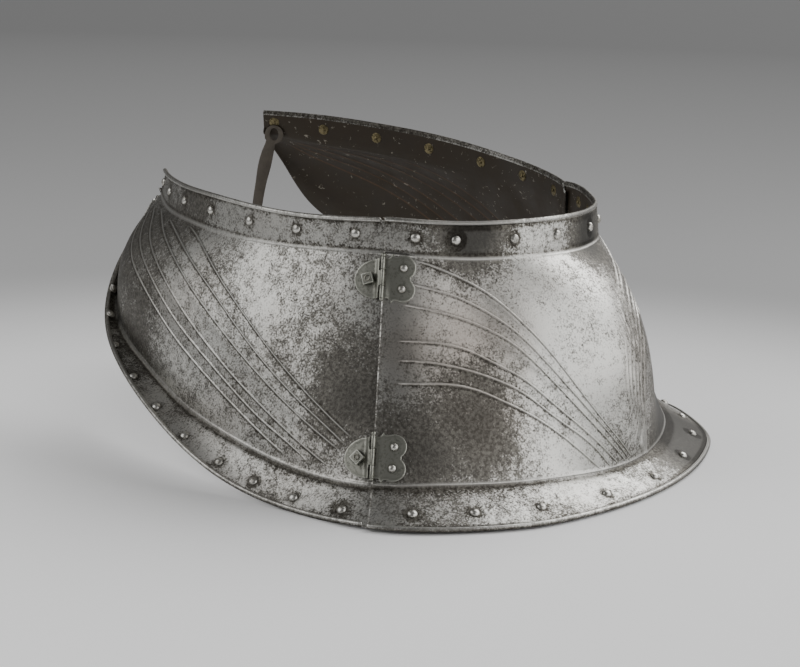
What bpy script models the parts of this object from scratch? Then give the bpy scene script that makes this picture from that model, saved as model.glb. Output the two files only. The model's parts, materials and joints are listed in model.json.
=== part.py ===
"""Peytral: a horse's steel breast armour of three plates on two hinged seams.

Front is -Y, up is +Z and the horse's right side is -X.  The right side plate is drawn in closed,
as far as its hinges let it go, and the left one stands open by LEFT_OPEN.  The armour stands on the
lower lips of its plates, which leans the whole of it back by LEAN_BACK on a level surface.

Each plate is a loft through upright sections.  SECTIONS holds a row for each section of the right
half, from the middle of the breast (station 0) past the seam (station 4) to the rear tip (station
10), and the left half mirrors it.
"""
import math

import bmesh
import bpy
import numpy as np
from mathutils import Matrix, Vector

MM = 0.001

# ---- driving dimensions, in millimetres and degrees -------------------------------------------
SEAM = 4.0                  # station where the side plate meets the centre plate
TIP = 10.0                  # station of the side plate's rear end
FRONT_THICK = 5.4           # the plates are thickest at the middle of the breast
CENTRE_THICK = 2.6          # the centre plate at its seams
SIDE_THICK = 1.0            # the side plate at its seam
TIP_THICK = 0.8
PLATE_GAP = 0.7             # between the centre plate and the strip of the side plate inside it
SIDE_INSET = CENTRE_THICK + PLATE_GAP
LAP = 0.14                  # stations by which the side plate is tucked inside the centre plate
ROLL_START = 0.18           # stations behind the seam where the side plate's rolled edges begin
ROLL_RADIUS = 2.6           # rolled edges along the rim and the lower lip
LIP_TRIM = 3.0              # how far the side plate's lip is set back from the centre plate's
PLAIN_TRIM = 4.0            # how far the unrolled strip behind the seam stops short of rim and lip
TUCK_TRIM = 9.0             # and the strip that is tucked inside the centre plate

HINGE_Z = {"upper": 217.5, "lower": 55.0}
AXIS_STAND = 4.8            # pin axis above the centre plate's face
KNUCKLE_RADIUS = 2.6
BORE_RADIUS = 1.55
PIN_RADIUS = 1.2
KNUCKLE_HALF = 8.0          # half height of the side leaf's middle knuckle
BARREL_HALF = 21.0
KNUCKLE_GAP = 0.4
LEAF_THICK = 1.3
LEAF_GAP = 0.5
CENTRE_LEAF_RIVETS = {"high": (20.5, 10.5), "low": (19.5, -10.5)}
STUD_AT = (-14.0, 0.0)
STUD_RADIUS = 3.0
STUD_BEVEL = 0.8
NUT_SIDE = 11.0
NUT_THICK = 5.0
NUT_TURN = {"upper": 15.0, "lower": 45.0}
RIVET_SHANK = 1.8
HOLE_CLEARANCE = 0.35

STRAP_WIDTH = 11.0
STRAP_END_WIDTH = 8.0
STRAP_THICK = 2.4
STRAP_STAND = 4.6           # clear of the plate, which curves in on both sides of the eye
STRAP_DROP = 125.0          # length of the tail below the eye
STRAP_SLANT = 24.0          # how far the tail drifts rearwards over the first 70 mm
EYE_STATION = 9.79
EYE_Z = 243.0
EYE_RADII = (8.0, 11.0)
EYE_BORE = (4.2, 7.0)

RIGHT_OPEN = 0.0
LEFT_OPEN = 22.0
LEAN_BACK = 0.4             # how far the armour tips backwards where it stands

# station: plan place of the rim, heading of the section from the front, height of the rim, then
# how far out and how high the wall passes at the band line, a third and two thirds down, at the
# flange's root and at its lip
COLUMNS = ("x", "y", "heading", "rim_z", "band_out", "band_z", "upper_out", "lower_out",
           "root_out", "root_z", "lip_out", "lip_z")
SECTIONS = (
    (0, -115, 0, 273, 3, 234, 62, 82, 80, 21, 122, 2.6),
    (-75, -98, 31, 273, 4, 235, 46, 66, 86, 26, 136, 2.4),
    (-123, -69, 37, 273, 4, 235, 32, 61, 90, 28, 145, 2.4),
    (-160, -38, 49, 275, 3, 238, 29, 62, 94, 31, 144, 2.2),
    (-184, -1, 60, 277, 3, 241, 31, 63, 96, 31, 140, 2.2),
    (-200, 65, 65, 275, 3, 240, 32, 58, 80, 32, 119, 0),
    (-196, 141, 82, 275, 4, 238, 34, 53, 62, 44, 100, 14),
    (-173, 220, 103, 277, 3, 237, 41, 55, 56, 63, 90, 51),
    (-135, 298, 121, 277, 3, 238, 47, 60, 57, 90, 84, 89),
    (-85, 366, 150, 277, 5, 239, 45, 60, 62, 139, 69, 149),
    (-33, 418, 132, 275, 8, 247, 5, 8, 11, 243, 16, 232),
)

STEEL = dict(color=(0.42, 0.41, 0.39), metallic=1.0, roughness=0.42)
HINGE_STEEL = dict(color=(0.26, 0.26, 0.23), metallic=1.0, roughness=0.55)
BRIGHT_STEEL = dict(color=(0.62, 0.61, 0.58), metallic=1.0, roughness=0.3)
LEATHER = dict(color=(0.07, 0.055, 0.04), metallic=0.0, roughness=0.7)


# ---- the surface --------------------------------------------------------------------------------
def natural_spline(values):
    """Second derivatives of a natural cubic through values at 0, 1, 2, ..."""
    count = len(values)
    system = np.eye(count)
    right = np.zeros_like(values)
    for i in range(1, count - 1):
        system[i, i - 1:i + 2] = (1.0, 4.0, 1.0)
        right[i] = 6.0 * (values[i - 1] - 2.0 * values[i] + values[i + 1])
    return np.linalg.solve(system, right)


def mirrored_rows():
    """The table continued past the middle of the breast, so that the spline crosses it level."""
    rows = np.array(SECTIONS, dtype=float)
    flip = np.ones(len(COLUMNS))
    flip[COLUMNS.index("x")] = -1.0
    flip[COLUMNS.index("heading")] = -1.0
    return np.vstack([(rows * flip)[:0:-1], rows])


ROWS = mirrored_rows()
CURVATURE = natural_spline(ROWS)
FIRST = len(SECTIONS) - 1   # index of station 0 in ROWS


def section_at(station):
    """The table's columns at any station; a negative station is on the left half."""
    place = min(max(station + FIRST, 0.0), len(ROWS) - 1.0)
    i = min(int(place), len(ROWS) - 2)
    b = place - i
    a = 1.0 - b
    row = (a * ROWS[i] + b * ROWS[i + 1]
           + ((a ** 3 - a) * CURVATURE[i] + (b ** 3 - b) * CURVATURE[i + 1]) / 6.0)
    return dict(zip(COLUMNS, row))


def wall_out(row, z):
    """How far out the wall stands at height z: straight down the band, then a cubic to the root."""
    if z >= row["band_z"]:
        return row["band_out"] * (row["rim_z"] - z) / (row["rim_z"] - row["band_z"])
    s = 3.0 * (row["band_z"] - z) / (row["band_z"] - row["root_z"])
    knots = (row["band_out"], row["upper_out"], row["lower_out"], row["root_out"])
    out = 0.0
    for i, value in enumerate(knots):
        weight = 1.0
        for j in range(4):
            if j != i:
                weight *= (s - j) / (i - j)
        out += weight * value
    return out


def in_space(row, out, z):
    """A point of a section, given by its distance out and its height, in the armour's frame."""
    heading = math.radians(row["heading"])
    return Vector((row["x"] - math.sin(heading) * out, row["y"] - math.cos(heading) * out, z))


def wall_point(station, z):
    row = section_at(station)
    return in_space(row, wall_out(row, z), z)


# ---- plates -------------------------------------------------------------------------------------
WALL_STEPS = 9
FLANGE_STEPS = 3
ARC_STEPS = 6
ROLL_TURN = 235.0


def face_path(row):
    """The outer face of a section from the rim to the lip, as (out, z) points."""
    points = [(0.0, row["rim_z"]), (row["band_out"] * 0.5, (row["rim_z"] + row["band_z"]) / 2.0)]
    for i in range(WALL_STEPS + 1):
        z = row["band_z"] + (row["root_z"] - row["band_z"]) * i / WALL_STEPS
        points.append((wall_out(row, z), z))
    for i in range(1, FLANGE_STEPS + 1):
        f = i / FLANGE_STEPS
        sag = 1.5 * math.sin(math.pi * f)
        points.append((row["root_out"] + (row["lip_out"] - row["root_out"]) * f,
                       row["root_z"] + (row["lip_z"] - row["root_z"]) * f - sag))
    return np.array(points)


def normals_2d(path):
    """Unit normals of a path that runs downwards, pointing out of the armour."""
    along = np.gradient(path, axis=0)
    along /= np.linalg.norm(along, axis=1)[:, None]
    return np.stack([-along[:, 1], along[:, 0]], axis=1)


def shorten(path, top, bottom):
    """Cut lengths off both ends of a path; the points on the wall between stay where they are."""
    steps = np.linalg.norm(np.diff(path, axis=0), axis=1)
    run = np.concatenate([[0.0], np.cumsum(steps)])
    band, root, end = run[2], run[2 + WALL_STEPS], run[-1]
    new_run = np.where(run < band, top + run * (band - top) / band, run)
    flange = root + (run - root) * (end - bottom - root) / (end - root)
    new_run = np.where(run > root, flange, new_run)
    return np.stack([np.interp(new_run, run, path[:, k]) for k in (0, 1)], axis=1)


def roll(centre, start, turn, radius):
    """Points round a rolled edge, from the angle start through turn, in degrees."""
    angles = np.radians(start + turn * np.linspace(0.0, 1.0, ARC_STEPS))
    return centre + radius * np.stack([np.cos(angles), np.sin(angles)], axis=1)


def section_outline(row, inset, thick, radius, top, bottom):
    """The closed outline of a plate's section: rim roll, outer face, lip roll, inner face."""
    path = face_path(row)
    path = path - normals_2d(path) * inset
    path = shorten(path, top + radius, bottom + radius)
    normal = normals_2d(path)
    inner = path - normal * thick
    beside = []
    for end, towards in ((0, 1), (-1, -2)):
        along = path[towards] - path[end]
        length = np.linalg.norm(along)
        beside.append(path[end] + along * min(1.2 * radius / length, 0.8))
    across = [math.degrees(math.atan2(n[1], n[0])) for n in (normal[0], normal[-1])]
    rim = roll(inner[0] + normal[0] * radius, across[0] + 180.0, -ROLL_TURN, radius)
    lip = roll(inner[-1] + normal[-1] * radius, across[1] + ROLL_TURN - 180.0, -ROLL_TURN, radius)
    return np.vstack([rim, beside[:1], path[1:-1], beside[1:], lip, inner[-2:0:-1]])


def cap(mesh, verts):
    """Close an end of a plate: a strip of quads between its faces, and one face at each roll."""
    count = len(verts)
    first = ARC_STEPS + 1
    rungs = (count - 2 * first) // 2
    mesh.faces.new(verts[:first + 1] + verts[-1:])
    for k in range(rungs - 1):
        mesh.faces.new((verts[first + k], verts[first + k + 1], verts[-2 - k], verts[-1 - k]))
    mesh.faces.new(verts[first + rungs - 1:count - rungs + 1])


def loft(name, rings):
    """A closed solid through rings of points, made by extruding one ring from the next."""
    mesh = bmesh.new()
    verts = [mesh.verts.new(p * MM) for p in rings[0]]
    edges = [mesh.edges.new((verts[i - 1], verts[i])) for i in range(len(verts))]
    cap(mesh, verts)
    for ring in rings[1:]:
        made = bmesh.ops.extrude_edge_only(mesh, edges=edges)["geom"]
        fresh = {item for item in made if isinstance(item, bmesh.types.BMVert)}
        verts = [next(e.other_vert(v) for e in v.link_edges if e.other_vert(v) in fresh)
                 for v in verts]
        for vert, point in zip(verts, ring):
            vert.co = point * MM
        edges = [mesh.edges.get((verts[i - 1], verts[i])) for i in range(len(verts))]
    cap(mesh, verts)
    bmesh.ops.triangulate(mesh, faces=mesh.faces[:])
    return finish(name, mesh)


def plate(name, stations, inset, thick_at, edges_at):
    """A plate lofted through its sections: thick_at gives the thickness at a station, edges_at the
    roll's radius and the trims at rim and lip."""
    rings = []
    for station in stations:
        row = section_at(station)
        radius, top, bottom = edges_at(station)
        outline = section_outline(row, inset, thick_at(station), radius, top, bottom)
        rings.append([in_space(row, out, z) for out, z in outline])
    return loft(name, rings)


def centre_thickness(station):
    return FRONT_THICK + (CENTRE_THICK - FRONT_THICK) * abs(station) / SEAM


def side_thickness(station):
    return SIDE_THICK + (TIP_THICK - SIDE_THICK) * max(station - SEAM, 0.0) / (TIP - SEAM)


def centre_plate():
    stations = np.linspace(-SEAM, SEAM, 33)
    return plate("centre_plate", stations, 0.0, centre_thickness, lambda s: (ROLL_RADIUS, 0.0, 0.0))


def side_edges(station):
    """The strip by the seam is trimmed and plain; behind it both edges are rolled."""
    if station < SEAM - 1e-6:
        return SIDE_THICK / 2.0, TUCK_TRIM, TUCK_TRIM
    if station < SEAM + ROLL_START:
        return SIDE_THICK / 2.0, PLAIN_TRIM, PLAIN_TRIM
    return ROLL_RADIUS, 1.0, LIP_TRIM


def side_plate(name):
    start = SEAM + ROLL_START
    stations = [SEAM - LAP, SEAM - 0.01, SEAM, start - 0.02, start]
    stations += list(np.linspace(start + 0.25, TIP - 1.0, 19))
    stations += [9.17, 9.33, 9.48, 9.62, 9.75, 9.87, TIP]
    return plate(name, stations, SIDE_INSET, side_thickness, side_edges)


# ---- small shapes -------------------------------------------------------------------------------
def finish(name, mesh):
    """Close off a bmesh as an object with its faces pointing out."""
    bmesh.ops.recalc_face_normals(mesh, faces=mesh.faces)
    if mesh.calc_volume(signed=True) < 0.0:
        bmesh.ops.reverse_faces(mesh, faces=mesh.faces)
    data = bpy.data.meshes.new(name)
    mesh.to_mesh(data)
    mesh.free()
    made = bpy.data.objects.new(name, data)
    bpy.context.scene.collection.objects.link(made)
    return made


def turned(name, profile, place, segments):
    """A solid turned about its own Z from (radius, height) points, put in place by a matrix."""
    mesh = bmesh.new()
    verts = [mesh.verts.new((r * MM, 0.0, h * MM)) for r, h in profile]
    edges = [mesh.edges.new(pair) for pair in zip(verts, verts[1:])]
    bmesh.ops.spin(mesh, geom=verts + edges, cent=(0, 0, 0), axis=(0, 0, 1), dvec=(0, 0, 0),
                   angle=math.tau, steps=segments, use_merge=True, use_duplicate=False)
    bmesh.ops.remove_doubles(mesh, verts=mesh.verts, dist=1e-7)
    mesh.transform(place)
    return finish(name, mesh)


def combine(target, tools, operation):
    """Join or cut target with the tools by one exact Boolean, and drop the tools."""
    if len(tools) > 1:
        with bpy.context.temp_override(active_object=tools[0], selected_editable_objects=tools):
            bpy.ops.object.join()
    tool = tools[0]
    modifier = target.modifiers.new("combine", "BOOLEAN")
    modifier.operation = operation
    modifier.object = tool
    bpy.context.view_layer.update()
    graph = bpy.context.evaluated_depsgraph_get()
    result = bpy.data.meshes.new_from_object(target.evaluated_get(graph))
    target.modifiers.clear()
    old = target.data
    target.data = result
    result.name = target.name
    bpy.data.meshes.remove(old)
    bpy.data.objects.remove(tool)


def looking(origin, normal, up):
    """A matrix whose Z is normal and whose Y is near up, with its origin in millimetres."""
    z = Vector(normal).normalized()
    x = Vector(up).cross(z).normalized()
    y = z.cross(x)
    matrix = Matrix((x, y, z)).transposed().to_4x4()
    matrix.translation = Vector(origin) * MM
    return matrix


# ---- hinges -------------------------------------------------------------------------------------
class Hinge:
    """One hinge of the right seam: u runs forward over the centre plate, v up the pin and n out."""

    def __init__(self, level):
        feet = {}
        for key, z in HINGE_Z.items():
            step = wall_point(SEAM, z + 1.0) - wall_point(SEAM, z - 1.0)
            row = section_at(SEAM)
            out = in_space(row, 1.0, 0.0) - in_space(row, 0.0, 0.0)
            normal = (out - step * (out.dot(step) / step.length_squared)).normalized()
            feet[key] = wall_point(SEAM, z) + normal * AXIS_STAND
            if key == level:
                self.out = normal
        self.axis = (feet["upper"] - feet["lower"]).normalized()
        self.centre = feet[level]
        self.normal = (self.out - self.axis * self.out.dot(self.axis)).normalized()
        self.forward = self.axis.cross(self.normal)

    def point(self, u, v, n):
        return self.centre + self.forward * u + self.axis * v + self.normal * n

    def face_height(self, u, v):
        """Where the nominal face lies below the pin axis at (u, v), by Newton's method."""
        station = SEAM - u / 40.0
        z = self.centre.z + v * self.axis.z
        n = -AXIS_STAND
        for _ in range(8):
            base = wall_point(station, z)
            error = self.point(u, v, n) - base
            by_station = (wall_point(station + 0.01, z) - base) / 0.01
            by_z = (wall_point(station, z + 0.5) - base) / 0.5
            system = np.array([by_station, by_z, -self.normal]).T
            step = np.linalg.solve(system, np.array(error))
            station += step[0]
            z += step[1]
            n += step[2]
        return n


def arc(centre, radius, start, end, steps):
    angles = np.radians(np.linspace(start, end, steps))
    return [(centre[0] + radius * math.cos(a), centre[1] + radius * math.sin(a)) for a in angles]


def centre_leaf_outline():
    """Two lobes with a cusp between them and a small nib above and below, notched for the
    side leaf's knuckle."""
    notch = KNUCKLE_HALF + KNUCKLE_GAP + 0.4
    clear = KNUCKLE_RADIUS + 0.9
    upper = [(0.4, notch), (0.4, BARREL_HALF - 0.5), (7.0, 21.0), (9.5, 24.5), (12.0, 21.5)]
    upper += arc((20.5, 11.0), 12.0, 105.0, -55.0, 10)
    lower = [(u, -v) for u, v in reversed(upper)]
    return [(clear, -notch), (clear, notch)] + upper + lower


def side_leaf_outline():
    """A half round leaf, notched for the centre leaf's two knuckles."""
    clear = -KNUCKLE_RADIUS - 0.9
    curve = [(clear - 25.0 * math.sin(a), 20.0 * math.cos(a))
             for a in np.radians(np.linspace(0.0, 180.0, 15))]
    end = KNUCKLE_HALF - 0.5
    return [(-0.4, -end), (-0.4, end), (clear, end)] + curve + [(clear, -end)]


def leaf_base(hinge, u, v, drop):
    """Underside of a leaf along the hinge's normal: under the bore by its knuckles, then down to
    the plate, which for the side leaf lies lower by drop."""
    f = min(max((abs(u) - KNUCKLE_RADIUS) / 3.2, 0.0), 1.0)
    f = f * f * (3.0 - 2.0 * f)
    by_knuckle = -BORE_RADIUS - 0.2 - LEAF_THICK
    return by_knuckle * (1.0 - f) + (hinge.face_height(u, v) - drop + LEAF_GAP) * f


def leaf_surface(hinge, u, v, drop):
    """A point on the underside of a leaf and the normal of the leaf there."""
    def at(du, dv):
        return hinge.point(u + du, v + dv, leaf_base(hinge, u + du, v + dv, drop))

    normal = (at(0.5, 0.0) - at(-0.5, 0.0)).cross(at(0.0, 0.5) - at(0.0, -0.5)).normalized()
    if normal.dot(hinge.normal) < 0.0:
        normal.negate()
    return at(0.0, 0.0), normal


def seat(hinge, at, drop):
    """The frame of a rivet, stud or nut: on the leaf's outer face, Z out of it."""
    point, normal = leaf_surface(hinge, at[0], at[1], drop)
    return looking(point + normal * LEAF_THICK, normal, hinge.axis)


def drum(radius, at, low, high):
    """A plain cylinder along Z, in the leaf's own flat coordinates."""
    profile = ((0.0, low), (radius, low), (radius, high), (0.0, high))
    return turned("drum", profile, Matrix.Translation((at[0] * MM, at[1] * MM, 0.0)), 12)


def leaf(name, hinge, outline, drop, holes, radius):
    """A flat sheet of the outline with its holes, then bent to follow the plate under it."""
    mesh = bmesh.new()
    mesh.faces.new([mesh.verts.new((u * MM, v * MM, 0.0)) for u, v in outline])
    made = bmesh.ops.extrude_face_region(mesh, geom=mesh.faces[:], use_keep_orig=True)["geom"]
    lifted = [item for item in made if isinstance(item, bmesh.types.BMVert)]
    bmesh.ops.translate(mesh, verts=lifted, vec=(0, 0, LEAF_THICK * MM))
    flat = finish(name, mesh)
    combine(flat, [drum(radius, at, -3.0, 6.0) for at in holes], "DIFFERENCE")
    mesh = bmesh.new()
    mesh.from_mesh(flat.data)
    cuts = [((u, 0, 0), (1, 0, 0)) for u in (-24, -18, -12, -5.8, -4.8, -3.7, 3.7, 4.8, 5.8, 14, 21, 27)]
    cuts += [((0, v, 0), (0, 1, 0)) for v in (-12, 0, 12)]
    for place, normal in cuts:
        bmesh.ops.bisect_plane(mesh, geom=mesh.verts[:] + mesh.edges[:] + mesh.faces[:],
                               plane_co=Vector(place) * MM, plane_no=normal, dist=1e-6)
    bmesh.ops.triangulate(mesh, faces=mesh.faces[:])
    for vert in mesh.verts:
        u, v, w = vert.co / MM
        point, normal = leaf_surface(hinge, u, v, drop)
        vert.co = (point + normal * w) * MM
    mesh.to_mesh(flat.data)
    mesh.free()
    return flat


def knuckle(hinge, low, high):
    profile = ((BORE_RADIUS, low), (KNUCKLE_RADIUS, low), (KNUCKLE_RADIUS, high),
               (BORE_RADIUS, high), (BORE_RADIUS, low))
    return turned("knuckle", profile, looking(hinge.centre, hinge.axis, hinge.forward), 12)


def hole(hinge, at, drop, radius):
    profile = ((0.0, -14.0), (radius, -14.0), (radius, 8.0), (0.0, 8.0))
    return turned("hole", profile, seat(hinge, at, drop), 12)


def centre_holes(hinge):
    radius = RIVET_SHANK + HOLE_CLEARANCE
    return [hole(hinge, at, 0.0, radius) for at in CENTRE_LEAF_RIVETS.values()]


def side_hole(hinge):
    return [hole(hinge, STUD_AT, SIDE_INSET, STUD_RADIUS + HOLE_CLEARANCE)]


def centre_leaf(name, hinge):
    made = leaf(name, hinge, centre_leaf_outline(), 0.0, CENTRE_LEAF_RIVETS.values(),
                RIVET_SHANK + HOLE_CLEARANCE)
    start = KNUCKLE_HALF + KNUCKLE_GAP
    for low, high in ((start, BARREL_HALF), (-BARREL_HALF, -start)):
        combine(made, [knuckle(hinge, low, high)], "UNION")
    return made


def side_leaf(name, hinge):
    made = leaf(name, hinge, side_leaf_outline(), SIDE_INSET, (STUD_AT,),
                STUD_RADIUS + HOLE_CLEARANCE)
    combine(made, [knuckle(hinge, -KNUCKLE_HALF, KNUCKLE_HALF)], "UNION")
    return made


def pin(name, hinge):
    """A plain pin with a small ball head above the barrel and a button below it."""
    top = BARREL_HALF + 0.4
    profile = ((0.0, -top - 1.4), (1.9, -top - 1.2), (2.1, -top), (PIN_RADIUS, -top),
               (PIN_RADIUS, top), (1.8, top), (2.4, top + 1.2), (2.2, top + 2.5),
               (1.2, top + 3.5), (0.0, top + 3.8))
    return turned(name, profile, looking(hinge.centre, hinge.axis, hinge.forward), 12)


def leaf_rivet(name, hinge, at):
    """A rivet through the leaf and the centre plate, with its clenched end inside."""
    head = 0.5
    under = -LEAF_THICK - LEAF_GAP - centre_thickness(SEAM - 0.3) - 0.7
    profile = ((0.0, under - 1.4), (2.6, under - 1.3), (3.4, under - 0.5), (3.4, under),
               (RIVET_SHANK, under), (RIVET_SHANK, head), (3.6, head), (3.3, head + 1.2),
               (2.0, head + 2.2), (0.0, head + 2.6))
    return turned(name, profile, seat(hinge, at, 0.0), 12)


def stud(name, hinge):
    """A threaded stud from inside the side plate out through the leaf."""
    under = -LEAF_THICK - LEAF_GAP - SIDE_THICK - 0.9
    end = NUT_THICK + 3.6
    profile = ((0.0, under - 1.6), (5.0, under - 1.6), (5.4, under), (STUD_RADIUS, under),
               (STUD_RADIUS, end - STUD_BEVEL), (STUD_RADIUS - STUD_BEVEL, end), (0.0, end))
    return turned(name, profile, seat(hinge, STUD_AT, SIDE_INSET), 12)


def nut(name, hinge, turn):
    """A square nut with its outer corners taken off, turned as it was left when tightened."""
    mesh = bmesh.new()
    size = Matrix.Diagonal((NUT_SIDE * MM, NUT_SIDE * MM, NUT_THICK * MM, 1.0))
    lift = Matrix.Translation((0, 0, (NUT_THICK / 2.0 + 0.5) * MM))
    bmesh.ops.create_cube(mesh, size=1.0, matrix=lift @ size)
    top = max(v.co.z for v in mesh.verts)
    rim = [e for e in mesh.edges if all(abs(v.co.z - top) < 1e-6 for v in e.verts)]
    bmesh.ops.bevel(mesh, geom=rim, offset=1.0 * MM, segments=1, profile=0.5, affect="EDGES",
                    material=-1)
    frame = seat(hinge, STUD_AT, SIDE_INSET)
    mesh.transform(frame @ Matrix.Rotation(math.radians(turn), 4, "Z"))
    made = finish(name, mesh)
    radius = STUD_RADIUS + HOLE_CLEARANCE
    bore = ((0.0, -4.0), (radius, -4.0), (radius, 14.0), (0.0, 14.0))
    combine(made, [turned("bore", bore, frame, 12)], "DIFFERENCE")
    return made


# ---- strap --------------------------------------------------------------------------------------
def ellipse(radii, start, end, steps):
    angles = np.radians(np.linspace(start, end, steps))
    return [(radii[0] * math.cos(a), radii[1] * math.sin(a)) for a in angles]


def strap(name):
    """A leather strap with an eye, inside the tip of the right plate; u runs rearwards."""
    row = section_at(EYE_STATION)
    ahead = section_at(EYE_STATION + 0.05)
    along = in_space(ahead, 0.0, 0.0) - in_space(row, 0.0, 0.0)
    along.normalize()
    inward = Vector((0, 0, 1)).cross(along) * -1.0
    if inward.dot(in_space(row, -1.0, 0.0) - in_space(row, 0.0, 0.0)) < 0.0:
        inward.negate()
    stand = SIDE_INSET + SIDE_THICK + STRAP_STAND
    centre = in_space(row, wall_out(row, EYE_Z), EYE_Z) + inward * stand

    rear = [(STRAP_SLANT * t ** 0.5 + STRAP_WIDTH * 0.25, -STRAP_DROP * t)
            for t in (0.12, 0.3, 0.56, 1.0)]
    width = np.linspace(STRAP_WIDTH, STRAP_END_WIDTH, 4)
    front = [(u - w, v) for (u, v), w in zip(rear, width)]
    outline = ellipse(EYE_RADII, -20.0, 235.0, 16) + front + rear[::-1]
    mesh = bmesh.new()
    mesh.faces.new([mesh.verts.new((u, v, 0.0)) for u, v in outline])
    made = bmesh.ops.extrude_face_region(mesh, geom=mesh.faces[:], use_keep_orig=True)["geom"]
    lifted = [item for item in made if isinstance(item, bmesh.types.BMVert)]
    bmesh.ops.translate(mesh, verts=lifted, vec=(0, 0, STRAP_THICK))
    frame = Matrix((along, Vector((0, 0, 1)), inward)).transposed().to_4x4()
    frame.translation = centre
    place = Matrix.Scale(MM, 4) @ frame
    mesh.transform(place)
    made = finish(name, mesh)
    bore = bmesh.new()
    bmesh.ops.create_cone(bore, cap_ends=True, segments=20, radius1=1.0, radius2=1.0, depth=20.0)
    bore.transform(place @ Matrix.Diagonal((*EYE_BORE, 1.0, 1.0)))
    combine(made, [finish("bore", bore)], "DIFFERENCE")
    return made


# ---- assembly -----------------------------------------------------------------------------------
def material(name, look):
    made = bpy.data.materials.new(name)
    made.use_nodes = True
    shader = made.node_tree.nodes["Principled BSDF"]
    shader.inputs["Base Color"].default_value = (*look["color"], 1.0)
    shader.inputs["Metallic"].default_value = look["metallic"]
    shader.inputs["Roughness"].default_value = look["roughness"]
    made.diffuse_color = (*look["color"], 1.0)
    return made


def dress(piece, look):
    piece.data.materials.clear()
    piece.data.materials.append(material(piece.name, look))
    piece.data.shade_smooth()
    piece.data.set_sharp_from_angle(angle=math.radians(35.0))


def mirror(piece):
    """Reflect a finished piece across X and turn its faces out again."""
    mesh = bmesh.new()
    mesh.from_mesh(piece.data)
    mesh.transform(Matrix.Diagonal((-1.0, 1.0, 1.0, 1.0)))
    bmesh.ops.reverse_faces(mesh, faces=mesh.faces)
    mesh.to_mesh(piece.data)
    mesh.free()


def empty(name, parent, matrix):
    made = bpy.data.objects.new(name, None)
    bpy.context.scene.collection.objects.link(made)
    made.parent = parent
    made.matrix_basis = matrix
    return made


def hang(piece, look, parent, frame):
    """Give a piece its material and hang it from an empty that stands at frame."""
    dress(piece, look)
    piece.data.transform(frame.inverted())
    piece.parent = parent


def hinge_axis(hinge, left):
    """The joint's frame: its Z runs up the pin on the right and down the pin on the left, so that
    a positive turn opens either plate."""
    centre, axis, forward = hinge.centre.copy(), hinge.axis.copy(), hinge.forward.copy()
    if left:
        centre.x, axis.x, forward.x = -centre.x, -axis.x, -forward.x
        axis.negate()
    return looking(centre, axis, forward)


def build_side(side, root, hinges):
    """One side plate with its leaves, studs and nuts, hung from the joint's empty, and the
    leaves, pins and rivets of the same seam, which stay with the centre plate."""
    left = side == "left"
    fixed = []
    turning = []
    skin = side_plate(f"side_plate_{side}")
    for hinge in hinges.values():
        combine(skin, side_hole(hinge), "DIFFERENCE")
    turning.append((skin, STEEL))
    for level, hinge in hinges.items():
        tag = f"{level}_{side}"
        fixed.append((centre_leaf(f"centre_leaf_{tag}", hinge), HINGE_STEEL))
        fixed.append((pin(f"pin_{tag}", hinge), HINGE_STEEL))
        for key, at in CENTRE_LEAF_RIVETS.items():
            fixed.append((leaf_rivet(f"leaf_rivet_{key}_{tag}", hinge, at), BRIGHT_STEEL))
        turning.append((side_leaf(f"side_leaf_{tag}", hinge), HINGE_STEEL))
        turning.append((stud(f"stud_{tag}", hinge), HINGE_STEEL))
        turning.append((nut(f"nut_{tag}", hinge, NUT_TURN[level]), HINGE_STEEL))
    if left:
        turning.append((strap("strap"), LEATHER))
        for piece, look in fixed + turning:
            mirror(piece)
    frame = hinge_axis(hinges["upper"], left)
    opening = math.radians(LEFT_OPEN if left else RIGHT_OPEN)
    joint = empty(f"joint_{side}", root, frame @ Matrix.Rotation(opening, 4, "Z"))
    for piece, look in fixed:
        hang(piece, look, root, Matrix.Identity(4))
    for piece, look in turning:
        hang(piece, look, joint, frame)


def main():
    for old in list(bpy.data.objects):
        bpy.data.objects.remove(old)
    root = empty("peytral", None, Matrix.Rotation(math.radians(-LEAN_BACK), 4, "X"))
    hinges = {level: Hinge(level) for level in HINGE_Z}
    body = centre_plate()
    holes = []
    for hinge in hinges.values():
        holes += centre_holes(hinge)
    mirrored = []
    for hinge in hinges.values():
        mirrored += centre_holes(hinge)
    for piece in mirrored:
        mirror(piece)
    combine(body, holes + mirrored, "DIFFERENCE")
    hang(body, STEEL, root, Matrix.Identity(4))
    for side in ("right", "left"):
        build_side(side, root, hinges)
    bpy.context.view_layer.update()
    pieces = [piece for piece in bpy.data.objects if piece.type == "MESH"]
    points = np.array([piece.matrix_world @ v.co for piece in pieces for v in piece.data.vertices])
    low, high = points.min(axis=0), points.max(axis=0)
    root.location = (-(low[0] + high[0]) / 2.0, -(low[1] + high[1]) / 2.0, -low[2])


main()
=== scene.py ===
"""Peytral: a horse's steel breast armour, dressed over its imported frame.

Lengths are in millimetres in the armour's own frame (front -Y, up +Z, the horse's right side -X)
until a piece is put in place by armour_matrix, which turns them into metres in the row frame.
The plates are lofted through the same upright sections as the solids, with their flutes, beads
and rolled edges worked into the face.
"""

import json
import math

import bmesh
import bpy
import numpy as np
from bpy.props import FloatProperty, FloatVectorProperty, IntProperty, PointerProperty
from bpy.types import Operator, Panel, PropertyGroup
from mathutils import Matrix, Vector
from mathutils.kdtree import KDTree


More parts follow.
